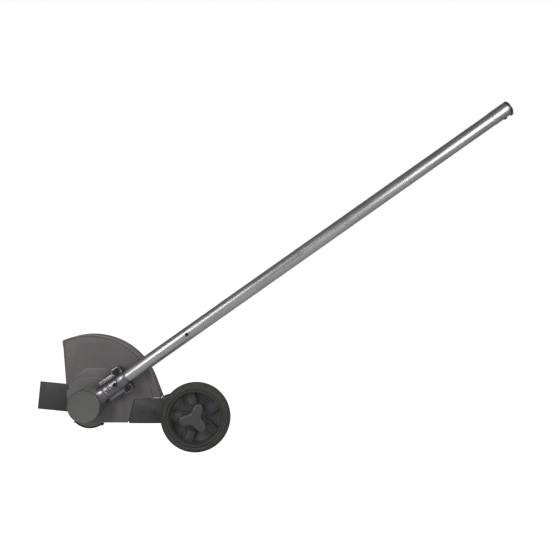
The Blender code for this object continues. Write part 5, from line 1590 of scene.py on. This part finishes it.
@dataclass
class Wheel(Assembly):
    """The spoked wheel with its tyre and bushes."""

    radius: float = 0.0615
    back: float = 0.0290
    front: float = 0.0670
    rim_outer: float = 0.0500
    rim_inner: float = 0.0440
    hub: float = 0.0130
    hub_bore: float = 0.0086
    web_back: float = 0.0400
    web_front: float = 0.0430
    spokes: int = 5
    spoke_phase: float = 33.0
    spoke_width: float = 0.0165
    spoke_front: float = 0.0485
    wall: float = 0.0015
    wall_front: float = 0.0520
    cross_place: float = 0.0235
    tread_grooves: tuple[float, ...] = (-0.55, -0.18, 0.18, 0.55)

    def build(self) -> None:
        """Build and settle the wheel and its tyre, and dress the bushes."""
        self._wheel()
        self._tyre()
        self.carry("bearing_bronze", "wheel_bush_inner", "wheel_bush_outer")

    def _wheel(self) -> None:
        """Turn the rim, web and hub, and join the spokes and their edge walls."""
        back, front = self.back + 0.0020, self.front - 0.0020
        rim, hub = self.rim_inner, self.hub
        profile = [(self.rim_outer, front), (self.rim_outer, back), (rim + 0.0015, back),
                   (rim, back + 0.0060), (rim, self.web_back), (hub + 0.0015, self.web_back),
                   (hub, self.web_back - 0.0030), (hub, back), (self.hub_bore, back),
                   (self.hub_bore, HUB_FRONT), (hub, HUB_FRONT), (hub + 0.0008, self.web_front),
                   (rim - 0.0005, self.web_front), (rim, front - 0.0120), (rim + 0.0016, front - 0.0015),
                   (rim + 0.0026, front)]
        wheel = Bench.lathe("wheel", profile, steps=120)
        Bench.soften(wheel, 0.0006, angle=25.0)
        half = self.spoke_width / 2
        low = self.web_front - 0.0010
        spoke = Bench.block("spoke", (hub - 0.0015, -half + 0.0004, low), (rim + 0.0012, half - 0.0004,
                                                                             self.spoke_front),
                            softened=0.0006)
        walls = [Bench.block(f"wall_{i}", (self.cross_place - 0.0004, side - self.wall / 2, low - 0.0003),
                             (rim + 0.0014, side + self.wall / 2, self.wall_front), softened=0.0005)
                 for i, side in enumerate((-half, half))]
        cross = Bench.block("cross", (self.cross_place - self.wall / 2, -half, low - 0.0005),
                            (self.cross_place + self.wall / 2, half, self.wall_front - 0.0003),
                            softened=0.0005)
        step = Bench.block("step", (self.cross_place - 0.0040, -half * 0.72, low + 0.0002),
                           (self.cross_place - 0.0028, half * 0.72, self.spoke_front + 0.0012),
                           softened=0.0004)
        Bench.join(spoke, *walls, cross, step)
        turned = [Bench.copy(spoke, f"spoke_{i}", turn(self.spoke_phase + 360.0 * i / self.spokes))
                  for i in range(self.spokes)]
        bpy.data.objects.remove(spoke)
        Bench.join(wheel, *turned)
        self.settle(wheel, self.frames.axle, Body.WHEEL, "wheel_plastic", Slot.PLASTIC, "wheel")
        inward, lip = self.frames.axle.inverted(), self.front - 0.0060
        # painted shade: the rim's front 6 mm and its dish wall take a darker finish
        self.repaint(wheel, "wheel_rim_painted_shade", lambda middle, normal: (inward @ middle).z > lip)

    def _tyre(self) -> None:
        """Turn the tyre, with a crowned tread, grooves and a bead line on its walls."""
        middle, half = (self.front + self.back) / 2, (self.front - self.back) / 2
        bore = self.rim_outer + GAP

        def tread(share: float) -> float:
            """Return the tread's radius at a share of its half width."""
            return self.radius - 0.0060 * abs(share) ** 3

        profile = [(bore, middle + half - 0.0006), (bore + 0.0008, middle + half),
                   (bore + 0.0030, middle + half), (bore + 0.0034, middle + half - 0.0005),
                   (bore + 0.0040, middle + half)]
        profile += [(self.radius - 0.0072, middle + half)]
        shares = [0.97, 0.90, 0.80, 0.68]
        for share in shares:
            profile.append((tread(share), middle + half * share))
        for groove in reversed(self.tread_grooves):
            for offset, depth in ((0.055, 0.0), (0.035, 0.0011), (-0.035, 0.0011), (-0.055, 0.0)):
                share = groove + offset
                profile.append((tread(share) - depth, middle + half * share))
        for share in reversed(shares):
            profile.append((tread(share), middle - half * share))
        profile += [(self.radius - 0.0072, middle - half), (bore + 0.0040, middle - half),
                    (bore + 0.0034, middle - half + 0.0005), (bore + 0.0030, middle - half),
                    (bore + 0.0008, middle - half), (bore, middle - half + 0.0006)]
        tyre = Bench.lathe("tyre", profile, steps=144)
        self.settle(tyre, self.frames.axle, Body.WHEEL, "tyre_rubber", Slot.TYRE, "tyre", angle=40.0)


@dataclass
class Knob(Assembly):
    """The three-lobed knob that clamps the wheel in its slot."""

    back: float = 0.0560
    front: float = 0.0700
    radius: float = 0.0280
    waist: float = 0.0125
    phase: float = 70.0
    steps: int = 108
    pocket: float = 0.0130              # insert's width across flats
    bore: float = 0.0043

    def build(self) -> None:
        """Build and settle the knob, and dress its insert."""
        outline = []
        for i in range(self.steps):
            angle = math.tau * i / self.steps
            swell = (0.5 + 0.5 * math.cos(3.0 * (angle - math.radians(self.phase)))) ** 1.3
            radius = self.waist + (self.radius - self.waist) * swell
            outline.append((radius * math.cos(angle), radius * math.sin(angle)))
        knob = Bench.plate("knob", outline, self.back, self.front)
        Bench.open(knob, "EDGE")
        Bench.pick(knob, "EDGE", lambda middle, along: middle.z > self.front - 0.0001)
        bpy.ops.mesh.bevel(offset=0.0034, segments=6, affect="EDGES")
        Bench.pick(knob, "EDGE", lambda middle, along: middle.z < self.back + 0.0001)
        bpy.ops.mesh.bevel(offset=0.0008, segments=2, affect="EDGES")
        Bench.tidy()
        dish = Bench.lathe("dish", [(0.0, self.front - 0.0006), (0.0082, self.front - 0.0006),
                                    (0.0092, self.front + 0.001), (0.0, self.front + 0.001)], steps=72,
                           joined=False)
        pocket = Bench.rod("pocket", self.pocket / math.sqrt(3.0) + GAP, self.back - 0.002, 0.0635, steps=6)
        bore = Bench.rod("bore", self.bore, self.back - 0.002, 0.0668, steps=32)
        Bench.cut(knob, dish, pocket, bore)
        self.settle(knob, self.frames.axle, Body.KNOB, "knob_plastic", Slot.PLASTIC, "knob")
        insert = HexNut(across=self.pocket, bore=self.bore, height=0.0072).make("knob_insert")
        self.settle(insert, self.frames.axle @ at(z=self.back), Body.KNOB, "bright_steel", Slot.BRIGHT,
                    "knob_insert")


# ---------------------------------------------------------------- floor, light and camera

@dataclass(frozen=True)
class SoftBox:
    """One rectangular soft light, hung at a place and turned towards a target."""

    name: str
    place: tuple[float, float, float]
    target: tuple[float, float, float]
    width: float
    height: float
    power: float
    mirrored: bool = True               # whether shiny pieces reflect it

    def hang(self) -> None:
        """Hang the light."""
        bpy.ops.object.light_add(type="AREA", location=self.place)
        lamp = bpy.context.active_object
        lamp.name, data = self.name, lamp.data
        data.shape, data.size, data.size_y, data.energy = "RECTANGLE", self.width, self.height, self.power
        lamp.visible_glossy = self.mirrored
        lamp.rotation_euler = (Vector(self.target) - Vector(self.place)).to_track_quat("-Z", "Y").to_euler()


@dataclass(frozen=True)
class Stage:
    """A pale floor, soft studio light and the camera."""

    floor_height: float = -0.6400
    floor_size: float = 16.0
    eye: tuple[float, float, float] = (-0.4061, -1.155, -0.3057)
    lens: float = 41.8
    surroundings: float = 0.19          # how bright the room is as a light
    boxes: tuple[SoftBox, ...] = (
        SoftBox("left_box", (-1.45, -1.30, 0.02), (-0.60, 0.0, -0.40), width=0.50, height=0.80, power=10.5),
        SoftBox("right_box", (0.47, -1.30, 0.26), (-0.10, 0.0, -0.15), width=0.70, height=0.95, power=14.0),
        SoftBox("top_box", (-0.45, -0.20, 1.30), (-0.45, 0.0, -0.30), width=1.20, height=0.50, power=20.0,
                mirrored=False),
    )

    def build(self) -> None:
        """Set the floor, the light and the camera."""
        self._floor()
        self._world()
        for box in self.boxes:
            box.hang()
        self._camera()
        bpy.context.scene.view_settings.view_transform = "Standard"

    def _floor(self) -> None:
        """Lay the pale floor, which grows as white as the room with distance."""
        Bench.hold()
        bpy.ops.mesh.primitive_grid_add(x_subdivisions=4, y_subdivisions=4, size=self.floor_size,
                                        location=(0.0, 0.0, self.floor_height))
        floor = bpy.context.active_object
        floor.name = "floor"
        paint = bpy.data.materials.new("pale_floor")
        paint.use_nodes = True
        tree = paint.node_tree
        shader = tree.nodes["Principled BSDF"]
        shader.inputs["Base Color"].default_value = (0.50, 0.50, 0.50, 1.0)
        shader.inputs["Roughness"].default_value = 0.9
        shader.inputs["Specular IOR Level"].default_value = 0.1
        glow, path = tree.nodes.new("ShaderNodeEmission"), tree.nodes.new("ShaderNodeLightPath")
        place, reach = tree.nodes.new("ShaderNodeTexCoord"), tree.nodes.new("ShaderNodeVectorMath")
        fade, seen = tree.nodes.new("ShaderNodeMapRange"), tree.nodes.new("ShaderNodeMath")
        both = tree.nodes.new("ShaderNodeAddShader")
        reach.operation, seen.operation = "LENGTH", "MULTIPLY"
        for socket, value in zip(list(fade.inputs)[1:5], (0.8, 3.0, 0.84, 1.0)):
            socket.default_value = value
        tree.links.new(place.outputs["Object"], reach.inputs[0])
        tree.links.new(reach.outputs["Value"], fade.inputs["Value"])
        tree.links.new(fade.outputs[0], seen.inputs[0])
        tree.links.new(path.outputs["Is Camera Ray"], seen.inputs[1])
        tree.links.new(seen.outputs[0], glow.inputs["Strength"])
        tree.links.new(shader.outputs[0], both.inputs[0])
        tree.links.new(glow.outputs[0], both.inputs[1])
        tree.links.new(both.outputs[0], tree.nodes["Material Output"].inputs["Surface"])
        floor.data.materials.append(paint)

    def _world(self) -> None:
        """Make the room white to look at and dimmer as a light."""
        world = bpy.data.worlds.new("studio")
        bpy.context.scene.world = world
        world.use_nodes = True
        tree = world.node_tree
        light, seen = tree.nodes["Background"], tree.nodes.new("ShaderNodeBackground")
        for node, strength in ((light, self.surroundings), (seen, 1.0)):
            node.inputs["Color"].default_value = (1.0, 1.0, 1.0, 1.0)
            node.inputs["Strength"].default_value = strength
        path, mix = tree.nodes.new("ShaderNodeLightPath"), tree.nodes.new("ShaderNodeMixShader")
        tree.links.new(path.outputs["Is Camera Ray"], mix.inputs[0])
        tree.links.new(light.outputs[0], mix.inputs[1])
        tree.links.new(seen.outputs[0], mix.inputs[2])
        tree.links.new(mix.outputs[0], tree.nodes["World Output"].inputs["Surface"])

    def _camera(self) -> None:
        """Place the camera level, square to the blade."""
        bpy.ops.object.camera_add(location=self.eye, rotation=(math.radians(90.0), 0.0, 0.0))
        camera = bpy.context.active_object
        camera.data.lens = self.lens
        camera.data.sensor_width = 36.0
        bpy.context.scene.camera = camera


# ---------------------------------------------------------------- making


def main() -> None:
    """Build every sub-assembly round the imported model, in order, and report each piece."""
    logging.basicConfig(level=logging.INFO, format="%(name)s: %(message)s")
    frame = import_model()
    frames = Frames.read()
    paints = Paints(frames.rise)
    for kind in (Boom, Gearcase, Blade, Guard, WheelBracket, Wheel, Knob):
        assembly = kind(frames, paints, frame["nodes"])
        assembly.build()
        for piece in assembly.made:
            log.info("%s: %s, %d faces", kind.__name__, piece.name, len(piece.data.polygons))
    Stage().build()


if __name__ == "__main__":
    main()
